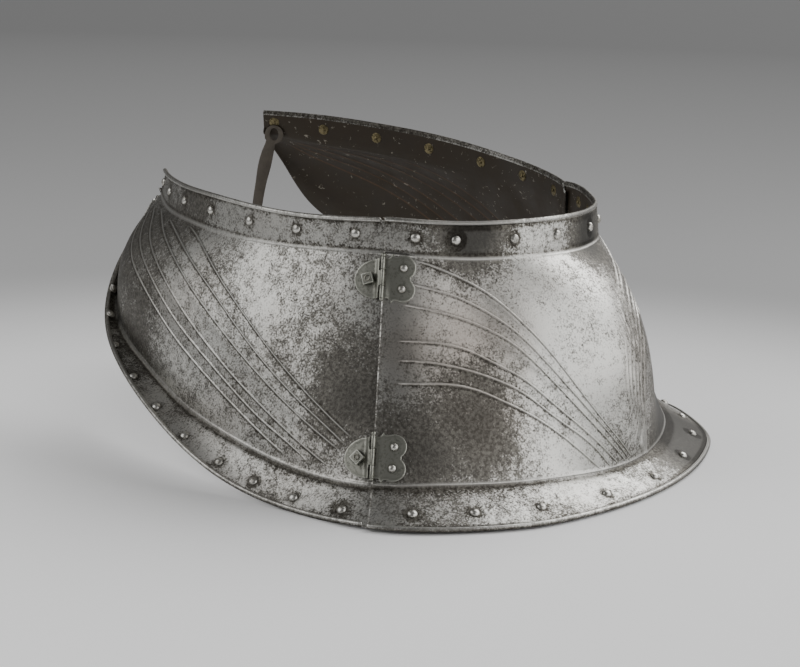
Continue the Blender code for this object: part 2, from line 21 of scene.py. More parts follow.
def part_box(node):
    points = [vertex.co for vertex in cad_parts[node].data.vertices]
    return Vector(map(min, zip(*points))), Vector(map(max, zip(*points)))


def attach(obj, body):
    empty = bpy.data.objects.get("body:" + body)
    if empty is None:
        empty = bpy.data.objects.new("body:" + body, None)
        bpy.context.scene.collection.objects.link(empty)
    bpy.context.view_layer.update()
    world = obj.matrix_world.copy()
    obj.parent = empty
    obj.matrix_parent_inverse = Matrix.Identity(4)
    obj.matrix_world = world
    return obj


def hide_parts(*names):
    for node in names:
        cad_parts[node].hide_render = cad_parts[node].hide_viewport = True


bl_info = {
    "name": "Peytral",
    "version": (1, 0, 0),
    "blender": (4, 5, 0),
    "location": "3D View > Sidebar > Peytral",
    "description": "Builds a horse's fluted steel breast armour with hinged side plates",
    "category": "Mesh",
}

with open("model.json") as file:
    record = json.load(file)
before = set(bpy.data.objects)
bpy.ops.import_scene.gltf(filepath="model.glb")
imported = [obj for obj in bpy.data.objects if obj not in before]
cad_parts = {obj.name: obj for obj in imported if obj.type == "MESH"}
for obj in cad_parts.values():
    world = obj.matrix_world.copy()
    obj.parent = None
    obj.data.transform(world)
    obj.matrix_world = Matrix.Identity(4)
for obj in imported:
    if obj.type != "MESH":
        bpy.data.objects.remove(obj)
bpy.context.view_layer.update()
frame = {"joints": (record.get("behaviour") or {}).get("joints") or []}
JOINTS = {joint["name"]: joint for joint in frame["joints"]}

# ---- driving dimensions ------------------------------------------------------------------------
MM = 0.001
UP = Vector((0.0, 0.0, 1.0))
MIRROR = Matrix.Diagonal((-1.0, 1.0, 1.0, 1.0))
SEAM = 4.0                  # station where the side plate meets the centre plate
TIP = 10.0                  # station of the side plate's rear end
LAP = 0.14                  # stations by which the side plate is tucked inside the centre plate
SIDE_INSET = 3.3            # the side plate's face lies this far inside the centre plate's
LEFT_OPEN = 22.0            # degrees by which the left side plate stands open
LEAN_BACK = 0.4             # degrees by which the armour tips back on a level surface

COLUMNS = ("x", "y", "heading", "rim_z", "band_out", "band_z", "upper_out", "lower_out",
           "root_out", "root_z", "lip_out", "lip_z")
SECTIONS = (
    (0, -115, 0, 273, 3, 234, 62, 82, 80, 21, 122, 2.6),
    (-75, -98, 31, 273, 4, 235, 46, 66, 86, 26, 136, 2.4),
    (-123, -69, 37, 273, 4, 235, 32, 61, 90, 28, 145, 2.4),
    (-160, -38, 49, 275, 3, 238, 29, 62, 94, 31, 144, 2.2),
    (-184, -1, 60, 277, 3, 241, 31, 63, 96, 31, 140, 2.2),
    (-200, 65, 65, 275, 3, 240, 32, 58, 80, 32, 119, 0),
    (-196, 141, 82, 275, 4, 238, 34, 53, 62, 44, 100, 14),
    (-173, 220, 103, 277, 3, 237, 41, 55, 56, 63, 90, 51),
    (-135, 298, 121, 277, 3, 238, 47, 60, 57, 90, 84, 89),
    (-85, 366, 150, 277, 5, 239, 45, 60, 62, 139, 69, 149),
    (-33, 418, 132, 275, 8, 247, 5, 8, 11, 243, 16, 232),
)

# Flutes of the centre plate: the height of each at these stations, then where its foot meets the
# root and where it starts beside the seam.
CENTRE_FLUTE_STATIONS = (0.5, 0.9, 1.3, 1.8, 2.4, 3.2, 3.8)
CENTRE_FLUTES = (
    dict(z=(84, 141, 176, 201, 219, 234, 240), foot=0.05, start=3.42),
    dict(z=(77, 126, 160, 182, 199, 211, 218), foot=0.09, start=3.62),
    dict(z=(68, 114, 146, 166, 180, 191, 196), foot=0.14, start=3.70),
    dict(z=(54, 92, 119, 136, 152, 160, 161), foot=0.24, start=3.78),
    dict(z=(45, 80, 105, 121, 133, 142, 143), foot=0.34, start=3.78),
    dict(z=(33, 66, 88, 103, 117, 122, 123), foot=0.46, start=3.78),
)
# Flutes of the centre plate's left half.  They stand steeper: each climbs through these stations
# at FAR_HEIGHTS before it bends back, and from its foot it runs on like the others.
FAR_HEIGHTS = (23, 60, 103, 142)
FAR_STATIONS = (0.9, 1.3, 1.8, 2.4, 3.2, 3.8)
FAR_FLUTES = (
    dict(climb=(0.18, -0.04, -0.14, -0.09), foot=0.32, foot_z=198, z=(216, 225, 232, 237, 239, 240)),
    dict(climb=(0.20, 0.00, -0.10, -0.03), foot=0.42, foot_z=196, z=(206, 210, 213, 216, 218, 218)),
    dict(climb=(0.21, 0.03, -0.05, 0.04), foot=0.50, foot_z=188, z=(194, 196, 197, 198, 198, 197)),
    dict(climb=(0.23, 0.07, 0.00, 0.12), foot=0.55, foot_z=180, z=(184, 184, 183, 181, 180, 178)),
    dict(climb=(0.24, 0.11, 0.05, 0.20), foot=0.60, foot_z=173, z=(175, 173, 170, 167, 163, 160)),
    dict(climb=(0.25, 0.15, 0.12, 0.30), foot=0.66, foot_z=166, z=(166, 162, 157, 152, 146, 142)),
)
FAR_END = 3.6               # station where the left half's flutes fade out
STATION_MM = 60.0           # about how long one station is, along the wall
FAR_REACH = 0.3             # right of this station no flute of the left half is near
# Flutes of a side plate: they start by the lower hinge and sweep up to the tip.
SIDE_FLUTE_STATIONS = (4.5, 5.0, 5.5, 6.0, 6.5, 7.2, 8.0, 9.0, 9.6)
SIDE_FLUTES = (
    dict(z=(78, 104, 134, 166, 195, 225, 238, 239, 242), foot=4.32, foot_z=70, start=7.80),
    dict(z=(67, 91, 118, 148, 178, 208, 229, 238, 241), foot=4.42, foot_z=63, start=8.50),
    dict(z=(58, 78, 103, 130, 158, 192, 219, 236, 240), foot=4.52, foot_z=58, start=9.20),
    dict(z=(38, 55, 78, 103, 130, 167, 202, 229, 238), foot=4.62, foot_z=40, start=9.55),
    dict(z=(37, 44, 66, 90, 116, 150, 188, 220, 235), foot=4.92, foot_z=39, start=9.60),
    dict(z=(36, 40, 53, 76, 100, 133, 172, 210, 232), foot=5.24, foot_z=42, start=9.65),
)

# Border rivets as stations: along the top band and along the flange.
CENTRE_TOP_RIVETS = (0.43, 1.22, 2.42, 3.33)
CENTRE_FLANGE_RIVETS = (0.0, 0.6, 1.48, 2.55, 3.37)
SIDE_TOP_RIVETS = (4.49, 5.42, 6.31, 7.23, 8.08, 8.92, 9.80)
SIDE_FLANGE_RIVETS = (4.40, 5.05, 5.56, 6.02, 6.54, 7.09, 7.68, 8.22, 8.61, 8.96)

# Rows of the skin between one ridge and the next, from the band to the root.
CENTRE_BETWEEN = (26, 5, 5, 6, 5, 5, 16)
SIDE_BETWEEN = (24, 4, 4, 5, 4, 4, 16)
CENTRE_FAN = (CENTRE_FLUTES, CENTRE_FLUTE_STATIONS, CENTRE_BETWEEN)
SIDE_FAN = (SIDE_FLUTES, SIDE_FLUTE_STATIONS, SIDE_BETWEEN)

# Soft round patches, partly marks of age and partly painted shade and painted highlight: where, how
# far they reach, how much darker the steel is made (dark oxide and painted shade), how far it is
# made bright (polish and painted highlight), and how brown it is.
MARK_COLUMNS = ("station", "z", "reach", "dark", "polish_and_sheen", "warm")
CENTRE_MARKS = (
    (0.9, 165, 135, 0.0, 1.0, 0.0),
    (0.8, 40, 70, 0.0, 1.0, 0.0),
    (-0.3, 110, 80, 0.5, 0.0, 0.7),
    (-1.15, 10, 140, 3.4, 0.0, 0.2),
    (-0.35, 248, 52, 2.8, 0.0, 0.0),
    (2.1, 262, 52, 2.8, 0.0, 0.2),
    (2.8, 236, 24, 0.9, 0.0, 0.2),
    (2.6, 165, 90, 0.0, 0.0, 1.0),
    (2.9, 185, 60, 0.0, 1.0, 0.7),
    (2.35, 85, 72, 1.7, 0.0, 0.9),
    (3.1, 60, 66, 1.7, 0.0, 0.5),
    (3.0, 15, 60, 0.5, 0.0, 0.0),
)
SIDE_MARKS = (
    (8.7, 190, 120, 1.3, 0.0, 0.2),
    (8.1, 125, 80, 1.1, 0.0, 0.0),
    (4.4, 104, 66, 1.7, 0.0, 0.2),
    (7.7, 258, 60, 1.2, 0.0, 0.0),
    (6.0, 262, 50, 0.0, 0.7, 0.0),
    (4.7, 84, 16, 1.5, 0.0, 0.0),
    (5.5, 205, 75, 0.0, 0.6, 0.0),
    (5.9, 45, 50, 0.0, 0.4, 0.0),
    (6.4, 30, 70, 0.0, 0.6, 0.0),
    (5.5, 186, 5, 1.8, 0.0, 0.0),
    (5.6, 160, 4, 1.8, 0.0, 0.0),
    (6.7, 140, 5, 1.8, 0.0, 0.0),
    (6.3, 140, 5, 1.5, 0.0, 0.0),
    (6.0, 153, 4, 1.8, 0.0, 0.0),
)
MARK_SPREAD = 1.25          # a mark has faded out at this many times its reach
# Darkening round a border rivet: how dark it is, where it starts to fade and, in times its reach,
# where it has faded out.  Reach and strength differ a little from rivet to rivet.
HALO_DARKENING = 1.4
HALO_START = 3.5
HALO_SPREAD = 1.15
HALO_REACHES = (8.5, 11.0)
HALO_STRENGTHS = (0.75, 1.0)
WIDE_HALO = 15.0            # round the side plate's first flange rivet, by the lower hinge
# Where border rivets sit: how far down the band and how far out on the flange, whose width is
# about FLANGE_MM.  Behind each is its tail, as (radius, height), on a washer at the band.
TOP_SEAT = 0.51
FLANGE_SEAT = 0.59
FLANGE_MM = 60.0
WASHER_HEIGHT = 0.9
WASHER_TAIL = (2.6, 1.8)
TAIL_LIFT = 0.6
FLANGE_TAIL = (3.4, 1.4)

# Hinges, as the solids have them.
HINGE_HEIGHTS = {"upper": 217.5, "lower": 55.0}
AXIS_STAND = 4.8            # the pin stands this far over the centre plate's face
KNUCKLE_RADIUS = 2.1
KNUCKLE_HALF = 8.0
KNUCKLE_DROP = -2.0         # a leaf's outer face beside the barrel, from the pin's axis
LEAF_RUN = (7.0, 5.5)       # a centre and a side leaf come down to the plate over this
BARREL_HALF = 21.0
KNUCKLE_GAP = 0.4           # between two knuckles
BORE = 3.1                  # a leaf's edge beside the other leaf's knuckle, from the axis
LEAF_THICK = 1.3
LEAF_GAP = 0.5
LEAF_STEP = 1.5             # a leaf is cut into squares of this size before it is bent
LEAF_ROUND = 0.45           # rounding of the edges of leaves and knuckles
LEAF_RIVETS = ((20.5, 10.5), (19.5, -10.5))
STUD_AT = (-14.0, 0.0)
RIVET_BORE = 3.2            # radii round which a leaf is darker
STUD_BORE = 5.6
NUT_SIDE = 11.0
NUT_THICK = 5.0
NUT_MIDDLE = 2.7            # height of its middle over the leaf
NUT_ROUND = 0.55
NUT_RUB_AND_SHEEN = 0.8               # width of the bright strip along its edges, wear and painted highlight
NUT_TURNS = {"upper": 15.0, "lower": 45.0}
# A rivet through leaf and centre plate, and a stud through side plate and leaf, with a small hole
# in its end: radii and heights over the leaf's outer face.  A pin has a ball at its upper end:
# radii and heights beyond the barrel's lower and upper ends.
RIVET_PROFILE = ((0.0, -6.5), (2.6, -6.4), (3.4, -5.6), (3.4, -4.9), (1.8, -4.9), (1.8, -0.2),
                 (3.9, -0.2), (3.9, 0.4), (3.6, 1.3), (2.8, 2.2), (1.6, 2.8), (0.0, 3.0))
STUD_PROFILE = ((0.0, -5.3), (3.4, -5.2), (5.0, -4.7), (5.4, -3.7), (3.0, -3.7), (3.0, 5.7),
                (2.8, 6.4), (2.4, 6.7), (2.1, 6.4), (1.9, 4.2), (0.0, 3.6))
PIN_LOWER = ((0.0, 3.0), (1.3, 2.6), (2.2, 1.3), (1.9, 0.0), (1.2, 0.0))
PIN_UPPER = ((1.2, 0.0), (1.9, 0.0), (2.5, 1.3), (2.2, 2.7), (1.2, 3.6), (0.0, 3.9))
PIN_CLEAR = 0.3             # between the barrel's ends and the pin's


def linear(code):
    """A linear colour from an sRGB hex code such as 'A8A49C'."""
    parts = [int(code[i:i + 2], 16) / 255.0 for i in (0, 2, 4)]
    return tuple(p / 12.92 if p <= 0.04045 else ((p + 0.055) / 1.055) ** 2.4 for p in parts)


def as_data(mesh, name):
    """A bmesh turned into mesh data and freed."""
    data = bpy.data.meshes.new(name)
    mesh.to_mesh(data)
    mesh.free()
    return data


def new_object(name, data):
    """An object in the scene, at its origin."""
    item = bpy.data.objects.new(name, data)
    bpy.context.scene.collection.objects.link(item)
    return item


def thicken(mesh, thick):
    """Raise a flat sheet into a slab."""
    made = bmesh.ops.extrude_face_region(mesh, geom=mesh.faces[:], use_keep_orig=True)["geom"]
    lifted = [item for item in made if isinstance(item, bmesh.types.BMVert)]
    bmesh.ops.translate(mesh, verts=lifted, vec=(0, 0, thick))
    bmesh.ops.recalc_face_normals(mesh, faces=mesh.faces)


def round_over(mesh, edges, offset):
    """Round some edges of a piece."""
    bmesh.ops.bevel(mesh, geom=edges, offset=offset, segments=2, profile=0.5, affect="EDGES",
                    material=-1)


def upright(origin, normal, up):
    """A matrix whose Z is normal and whose Y is near up."""
    normal = Vector(normal).normalized()
    x = up.cross(normal).normalized()
    matrix = Matrix((x, normal.cross(x), normal)).transposed().to_4x4()
    matrix.translation = Vector(origin)
    return matrix


# ---- settings -------------------------------------------------------------------------------------
class PlateSettings(PropertyGroup):
    front_thick: FloatProperty(
        name="Front Thickness", description="Thickness of the centre plate in its middle, in mm",
        default=5.4, min=0.5, max=8.0)
    seam_thick: FloatProperty(
        name="Seam Thickness", description="Thickness of the centre plate at its seams, in mm",
        default=2.6, min=0.5, max=4.0)
    side_thick: FloatProperty(
        name="Side Thickness", description="Thickness of the side plates, in mm",
        default=1.0, min=0.4, max=3.0)
    roll_radius: FloatProperty(
        name="Roll Radius", description="Radius of the rolled rim and lip, in mm",
        default=2.6, min=1.0, max=5.0)
    flute_height: FloatProperty(
        name="Flute Height", description="How far a flute stands out of the plate, in mm",
        default=0.75, min=0.0, max=3.0)
    flute_width: FloatProperty(
        name="Flute Width", description="Half width of a flute's ridge, in mm",
        default=0.95, min=0.5, max=4.0)
    columns: IntProperty(
        name="Sections", description="Number of sections lofted along each plate",
        default=270, min=60, max=280)


class RivetSettings(PropertyGroup):
    head_radius: FloatProperty(
        name="Head Radius", description="Radius of a border rivet's domed head, in mm",
        default=5.0, min=2.0, max=8.0)
    head_height: FloatProperty(
        name="Head Height", description="Height of a border rivet's head, in mm",
        default=3.4, min=1.0, max=6.0)
    washer_radius: FloatProperty(
        name="Washer Radius", description="Radius of the brass washers inside the plates, in mm",
        default=6.8, min=3.0, max=9.0)


class FinishSettings(PropertyGroup):
    steel: FloatVectorProperty(
        name="Worn Steel", description="Steel where handling keeps it bright",
        subtype="COLOR", default=linear("C8C7C2"), min=0.0, max=1.0)
    patina: FloatVectorProperty(
        name="Patina", description="Dark oxide in the pits of the steel",
        subtype="COLOR", default=linear("3E3A35"), min=0.0, max=1.0)
    warm: FloatVectorProperty(
        name="Warm Oxide", description="Thin brown oxide over parts of the steel",
        subtype="COLOR", default=linear("8A7768"), min=0.0, max=1.0)
    inside: FloatVectorProperty(
        name="Inside", description="Rust and old varnish inside the plates",
        subtype="COLOR", default=linear("453B2E"), min=0.0, max=1.0)
    hinge: FloatVectorProperty(
        name="Hinge Steel", description="Greenish grey steel of the hinges",
        subtype="COLOR", default=linear("9B9B92"), min=0.0, max=1.0)
    brass: FloatVectorProperty(
        name="Brass", description="Tarnished brass of the washers",
        subtype="COLOR", default=linear("81775A"), min=0.0, max=1.0)
    leather: FloatVectorProperty(
        name="Leather", description="Old dark leather of the strap",
        subtype="COLOR", default=linear("6A6258"), min=0.0, max=1.0)


class StageSettings(PropertyGroup):
    camera_place: FloatVectorProperty(
        name="Camera", description="Where the camera stands", subtype="TRANSLATION",
        default=(-1.658, -1.103, 0.5518))
    camera_turn: FloatVectorProperty(
        name="Camera Rotation", description="How the camera is turned", subtype="EULER",
        default=tuple(math.radians(a) for a in (77.42, -1.73, -55.95)))
    lens: FloatProperty(
        name="Lens", description="Focal length on a 36 mm sensor", default=81.0, unit="CAMERA")
    floor: FloatVectorProperty(
        name="Floor", description="Pale floor", subtype="COLOR", default=linear("FAFAFA"),
        min=0.0, max=1.0)
    floor_size: FloatProperty(
        name="Floor Size", description="Side of the floor, wide enough to have no horizon",
        default=80.0, unit="LENGTH")
    window_strength: FloatProperty(
        name="Window", description="Strength of the light from high up on the horse's left",
        default=2.2, min=0.0)
    air: FloatVectorProperty(
        name="Room", description="Dim light of the room round the stage", subtype="COLOR",
        default=linear("666666"), min=0.0, max=1.0)


# ---- the plates' surface --------------------------------------------------------------------------
def spline(knots, values, places):
    """A natural cubic through values (one row for each knot), at the given places."""
    knots = np.asarray(knots, dtype=float)
    values = np.asarray(values, dtype=float)
    steps = np.diff(knots)
    system = np.eye(len(knots))
    right = np.zeros_like(values)
    slopes = np.diff(values, axis=0) / steps.reshape((-1,) + (1,) * (values.ndim - 1))
    for i in range(1, len(knots) - 1):
        system[i, i - 1:i + 2] = (steps[i - 1], 2.0 * (steps[i - 1] + steps[i]), steps[i])
        right[i] = 6.0 * (slopes[i] - slopes[i - 1])
    bend = np.linalg.solve(system, right)
    places = np.clip(np.asarray(places, dtype=float), knots[0], knots[-1])
    i = np.clip(np.searchsorted(knots, places, side="right") - 1, 0, len(knots) - 2)
    shape = places.shape + (1,) * (values.ndim - 1)
    step = steps[i].reshape(shape)
    b = ((places - knots[i]) / steps[i]).reshape(shape)
    a = 1.0 - b
    return (a * values[i] + b * values[i + 1]
            + ((a ** 3 - a) * bend[i] + (b ** 3 - b) * bend[i + 1]) * step ** 2 / 6.0)


def mirrored_rows():
    """The table continued past the middle of the breast, so that the spline crosses it level."""
    rows = np.array(SECTIONS, dtype=float)
    flip = np.ones(len(COLUMNS))
    flip[COLUMNS.index("x")] = -1.0
    flip[COLUMNS.index("heading")] = -1.0
    return np.vstack([(rows * flip)[:0:-1], rows])


ROWS = mirrored_rows()
ROW_STATIONS = np.arange(len(ROWS)) - (len(SECTIONS) - 1.0)


def section_at(station):
    """The table's columns at any station; a negative station is on the left half."""
    return dict(zip(COLUMNS, spline(ROW_STATIONS, ROWS, station)))


def wall_out(row, z):
    """How far out the wall stands at heights z: straight down the band, a cubic to the root."""
    z = np.asarray(z, dtype=float)
    band = row["band_out"] * (row["rim_z"] - z) / (row["rim_z"] - row["band_z"])
    s = 3.0 * (row["band_z"] - z) / (row["band_z"] - row["root_z"])
    knots = (row["band_out"], row["upper_out"], row["lower_out"], row["root_out"])
    wall = np.zeros_like(z)
    for i, value in enumerate(knots):
        weight = np.ones_like(z)
        for j in range(4):
            if j != i:
                weight *= (s - j) / (i - j)
        wall += weight * value
    return np.where(z >= row["band_z"], band, wall)


def flange_point(row, f):
    """A point of the flange, f from 0 at its root to 1 at its lip, as (out, z)."""
    f = np.asarray(f, dtype=float)
    out = row["root_out"] + (row["lip_out"] - row["root_out"]) * f
    z = row["root_z"] + (row["lip_z"] - row["root_z"]) * f - 1.5 * np.sin(math.pi * f)
    return np.stack([out, z], axis=-1)


def in_space(row, points):
    """Points of a section, given as (out, z), in the armour's frame."""
    heading = math.radians(row["heading"])
    out = points[..., 0]
    return np.stack([row["x"] - math.sin(heading) * out,
                     row["y"] - math.cos(heading) * out, points[..., 1]], axis=-1)


def normals_2d(path):
    """Unit normals of a path that runs downwards, pointing out of the armour."""
    along = np.gradient(path, axis=0)
    along /= np.linalg.norm(along, axis=1)[:, None]
    return np.stack([-along[:, 1], along[:, 0]], axis=1)


def smooth(x, low, high):
    """0 below low, 1 above high, and an even curve between."""
    f = np.clip((np.asarray(x, dtype=float) - low) / (high - low), 0.0, 1.0)
    return f * f * (3.0 - 2.0 * f)


def bell(x, width):
    """1 at 0 and fading to both sides."""
    return np.exp(-(np.asarray(x, dtype=float) / width) ** 2)


# ---- the plates -----------------------------------------------------------------------------------
RIDGE_STEPS = (0.45, 0.9, 1.4, 2.0, 2.8, 3.9)   # distances of the fine rows beside a ridge
BAND_ROWS = 12
FLANGE_ROWS = 18
ROLL_ROWS = 9
INNER_ROWS = (5, 14, 6)                         # rows of the inner face: band, wall and flange
INNER_BESIDE = 4                                # and beside a flute, counted in the outer rows
INNER_LIFT = 0.45                               # how much of a flute shows inside
ROLL_TURN = 235.0                               # degrees that a rolled edge turns through
LEAST_GAP = 0.8                                 # between two flutes, down the wall
FOOT_FADES = (0.06, 0.16)                       # stations in which a centre or a side flute rises
START_FADE = 0.3                                # and in which it sinks again beside the hinge or tip
# Trims of a side plate at rim and lip: on the strip inside the centre plate, just behind the seam,
# and on the rest of the plate, where the edges are rolled.
TUCKED_TRIMS = (9.0, 9.0)
SEAM_TRIMS = (4.0, 4.0)
SIDE_TRIMS = (1.0, 3.0)
ROLL_STARTS = (SEAM + 0.04, SEAM + 0.09)
# A flute: the groove below it as a share of its height and in its half widths, the dirt and painted
# shade in that groove, the dirt above the next flute (amount, place and width), and the dish between
# two flutes.
GROOVE = 0.3
GROOVE_AT = 2.2
DIRT_AND_SHADE_BELOW = (1.0, 2.1, 1.1)
DIRT_ABOVE = (0.35, 2.0, 1.0)
DISH = 0.014
DISH_SPAN = 30.0
NARROWEST = 0.35            # shares of its width and height that are left where flutes crowd
LOWEST = 0.3
# A flute of the left half is wider and taller, because it crosses the sections at a slant.
FAR_WIDE = 1.15
FAR_TALL = 1.5
FAR_GROOVE_AT = 2.4
FAR_DIRT = (0.4, 2.3, 1.0)
FAR_BLEND = 0.4             # stations over which the rows go over to the left half's heights
CLOSE_SECTIONS = (-1.0, 0.2, 124)               # first, last and number, where those flutes climb
# The bead under the top band and the crease at the flange's root are bells added across them:
# what each adds to, how much, how far below the line it lies and how wide it is.  The bells on the
# crest layer paint a highlight along the bead and the root; the darkening bells paint shade under
# the bead and in the crease, with some dirt there too.
BELL_COLUMNS = ("line", "layer", "amount", "below", "width")
BELLS = (
    ("band", "lift", 0.75, 0.0, 1.5),
    ("band", "lift", -0.45, -3.2, 1.8),
    ("band", "crest", 0.8, 0.0, 1.3),
    ("band", "valley", 0.8, -3.0, 1.8),
    ("root", "lift", 1.0, -1.0, 1.9),
    ("root", "lift", -0.9, 2.6, 1.9),
    ("root", "crest", 0.8, -1.2, 1.5),
    ("root", "valley", 1.0, 2.4, 2.0),
    ("root", "valley", 0.45, 4.5, 5.0),
)
NARROW_WALL = 60.0          # a wall lower than this has lower beads
ROLL_SEEN = (1.2, 2.4)      # radii between which an edge comes to look rolled
ROLL_HIGHLIGHT_AND_SHADE = (0.5, 0.9)      # painted highlight on a roll's outer half, and painted shade on its inner half


def face_point(station, z):
    """The point of the outer face at a station and height, on the wall or on the flange."""
    row = section_at(station)
    if z >= row["root_z"]:
        return in_space(row, np.array([float(wall_out(row, z)), z]))
    return in_space(row, flange_point(row, (row["root_z"] - z) / (row["root_z"] - row["lip_z"])))


def flute_levels(row, station, flutes, stations):
    """Heights and strengths of the flutes at a station, kept in order between band and root."""
    levels = []
    strengths = []
    s = abs(station)
    room = (row["band_z"] - row["root_z"]) / (len(flutes) + 2)
    gap = min(LEAST_GAP, room)
    for k, flute in enumerate(flutes):
        knots = (flute["foot"],) + tuple(x for x in stations if x > flute["foot"] + 0.06)
        heights = flute["z"][len(stations) + 1 - len(knots):]
        foot_row = section_at(flute["foot"])
        foot_z = flute.get("foot_z", foot_row["root_z"] + gap * (len(flutes) + 1 - k))
        z = float(spline(knots, (foot_z,) + tuple(heights), s))
        fade = FOOT_FADES[flute["foot"] > SEAM]
        strength = smooth(s, flute["foot"] - 0.02, flute["foot"] + fade)
        start = flute.get("start", 0.0)
        strength *= 1.0 - smooth(s, start - START_FADE, start)
        levels.append(z)
        strengths.append(float(strength))
    for k in range(len(levels)):
        top = row["band_z"] if k == 0 else levels[k - 1]
        levels[k] = min(levels[k], top - gap)
    for k in range(len(levels) - 1, -1, -1):
        below = row["root_z"] if k == len(levels) - 1 else levels[k + 1]
        levels[k] = max(levels[k], below + gap)
    return levels, strengths


def dirt_and_shade_beside(away, width, where):
    """Dirt, and painted shade where it lies below a flute, at some distances from a flute: where is
    its amount, place and width.
    """
    amount, place, wide = where
    return amount * bell(away - place * width, wide * width)


def wall_rows(row, levels, strengths, between, width, height):
    """Heights of the wall's rows from the band line to the root, packed closely beside each
    ridge, with how far each row is raised, its wear and painted highlight on a ridge, and its dirt
    and painted shade beside one."""
    marks = [row["band_z"]] + levels + [row["root_z"]]
    power = [0.0] + strengths + [0.0]
    z_rows = []
    raise_rows = []
    crest_and_highlight_rows = []
    dirt_and_shade_rows = []
    for k in range(len(marks) - 1):
        top, low = marks[k], marks[k + 1]
        ends = np.stack([wall_out(row, np.array([top, low])), np.array([top, low])], axis=1)
        length = max(float(np.linalg.norm(ends[1] - ends[0])), 1e-6)
        shrink = min(1.0, length / (2.0 * RIDGE_STEPS[-1] + 1.0))
        near = np.array((0.0,) + RIDGE_STEPS) * shrink
        middle = np.linspace(near[-1], length - near[-1], between[k] + 2)[1:-1]
        place = np.concatenate([near, middle, length - near[:0:-1]])
        z_rows.append(top + (low - top) * place / length)
        from_low = length - place
        spread = width * max(shrink, NARROWEST)
        tall = height * max(shrink, LOWEST)
        up, down = power[k], power[k + 1]
        ridge = up * bell(place, spread) + down * bell(from_low, spread)
        groove = GROOVE * up * bell(place - GROOVE_AT * spread, spread)
        dish = DISH * min(length, DISH_SPAN) * np.sin(math.pi * place / length) ** 2
        raise_rows.append(tall * (ridge - groove) - dish * min(up, down))
        # Ridges get wear and a painted highlight; beside them lie dirt and painted shade, most of it
        # below each flute.
        crest_and_highlight_rows.append(ridge)
        dirt_and_shade_rows.append(up * dirt_and_shade_beside(place, spread, DIRT_AND_SHADE_BELOW)
                           + down * dirt_and_shade_beside(from_low, spread, DIRT_ABOVE))
    z_rows.append(np.array([row["root_z"]]))
    for rows in (raise_rows, crest_and_highlight_rows, dirt_and_shade_rows):
        rows.append(np.zeros(1))
    return [np.concatenate(rows) for rows in (z_rows, raise_rows, crest_and_highlight_rows, dirt_and_shade_rows)]


def shortened(path, band_end, root_start, top, bottom):
    """Cut lengths off both ends of a path; the points on the wall between stay where they are."""
    steps = np.linalg.norm(np.diff(path, axis=0), axis=1)
    run = np.concatenate([[0.0], np.cumsum(steps)])
    band, root, end = run[band_end], run[root_start], run[-1]
    new_run = np.where(run < band, top + run * (band - top) / band, run)
    flange = root + (run - root) * (end - bottom - root) / (end - root)
    new_run = np.where(run > root, flange, new_run)
    return np.stack([np.interp(new_run, run, path[:, k]) for k in (0, 1)], axis=1), new_run


def roll(centre, start, radius):
    """Points round a rolled edge from the angle start, in degrees."""
    angles = np.radians(start - ROLL_TURN * np.linspace(0.0, 1.0, ROLL_ROWS))
    return centre + radius * np.stack([np.cos(angles), np.sin(angles)], axis=1)


def centre_wall(station, settings):
    """The centre plate's thickness, which tapers from its middle to its seams."""
    taper = 1.0 - abs(station) / SEAM
    return settings.seam_thick + (settings.front_thick - settings.seam_thick) * taper


def far_line(flute):
    """Stations and heights along a left flute, from its foot round to the hinge."""
    beyond = [(s, z) for s, z in zip(FAR_STATIONS, flute["z"]) if s > flute["foot"] + 0.3]
    bend = (flute["foot"], flute["foot_z"])
    knots = np.array(list(zip(flute["climb"], FAR_HEIGHTS)) + [bend] + beyond)
    steps = np.hypot(np.diff(knots[:, 0]) * STATION_MM, np.diff(knots[:, 1]))
    run = np.concatenate([[0.0], np.cumsum(steps)])
    along = np.linspace(0.0, run[-1], 900)
    return zip(spline(run, knots[:, 0], along), spline(run, knots[:, 1], along))


def far_ridges():
    """The lines of the left half's flutes as points that can be searched."""
    points = []
    for flute in FAR_FLUTES:
        points += [face_point(-station, z) for station, z in far_line(flute)
                   if station < FAR_END]
    tree = KDTree(len(points))
    for index, point in enumerate(points):
        tree.insert(point, index)
    tree.balance()
    return tree


def add_beads(layers, run, lines):
    """Work the bead under the band and the crease at the flange's root into a section."""
    narrow = min(1.0, (lines["root"] - lines["band"]) / NARROW_WALL)
    for values in BELLS:
        part = dict(zip(BELL_COLUMNS, values))
        amount = part["amount"] * (narrow if part["layer"] == "lift" else 1.0)
        away = run - lines[part["line"]] - part["below"]
        layers[part["layer"]] += amount * bell(away, part["width"])


def inner_rows(between, root_at, count):
    """The outer face's rows that the inner face repeats, from the lip back up to the rim, and
    the rows that are flutes."""
    each = 2 * len(RIDGE_STEPS) + 1
    ridge_rows = BAND_ROWS + np.cumsum(np.array(between[:-1]) + each)
    ends = (1, BAND_ROWS, root_at, count - 2)
    spaced = [np.linspace(*span) for span in zip(ends, ends[1:], INNER_ROWS)]
    beside = [ridge_rows + step for step in (-INNER_BESIDE, 0, INNER_BESIDE)]
    return np.unique(np.concatenate(spaced + beside).astype(int))[::-1], ridge_rows


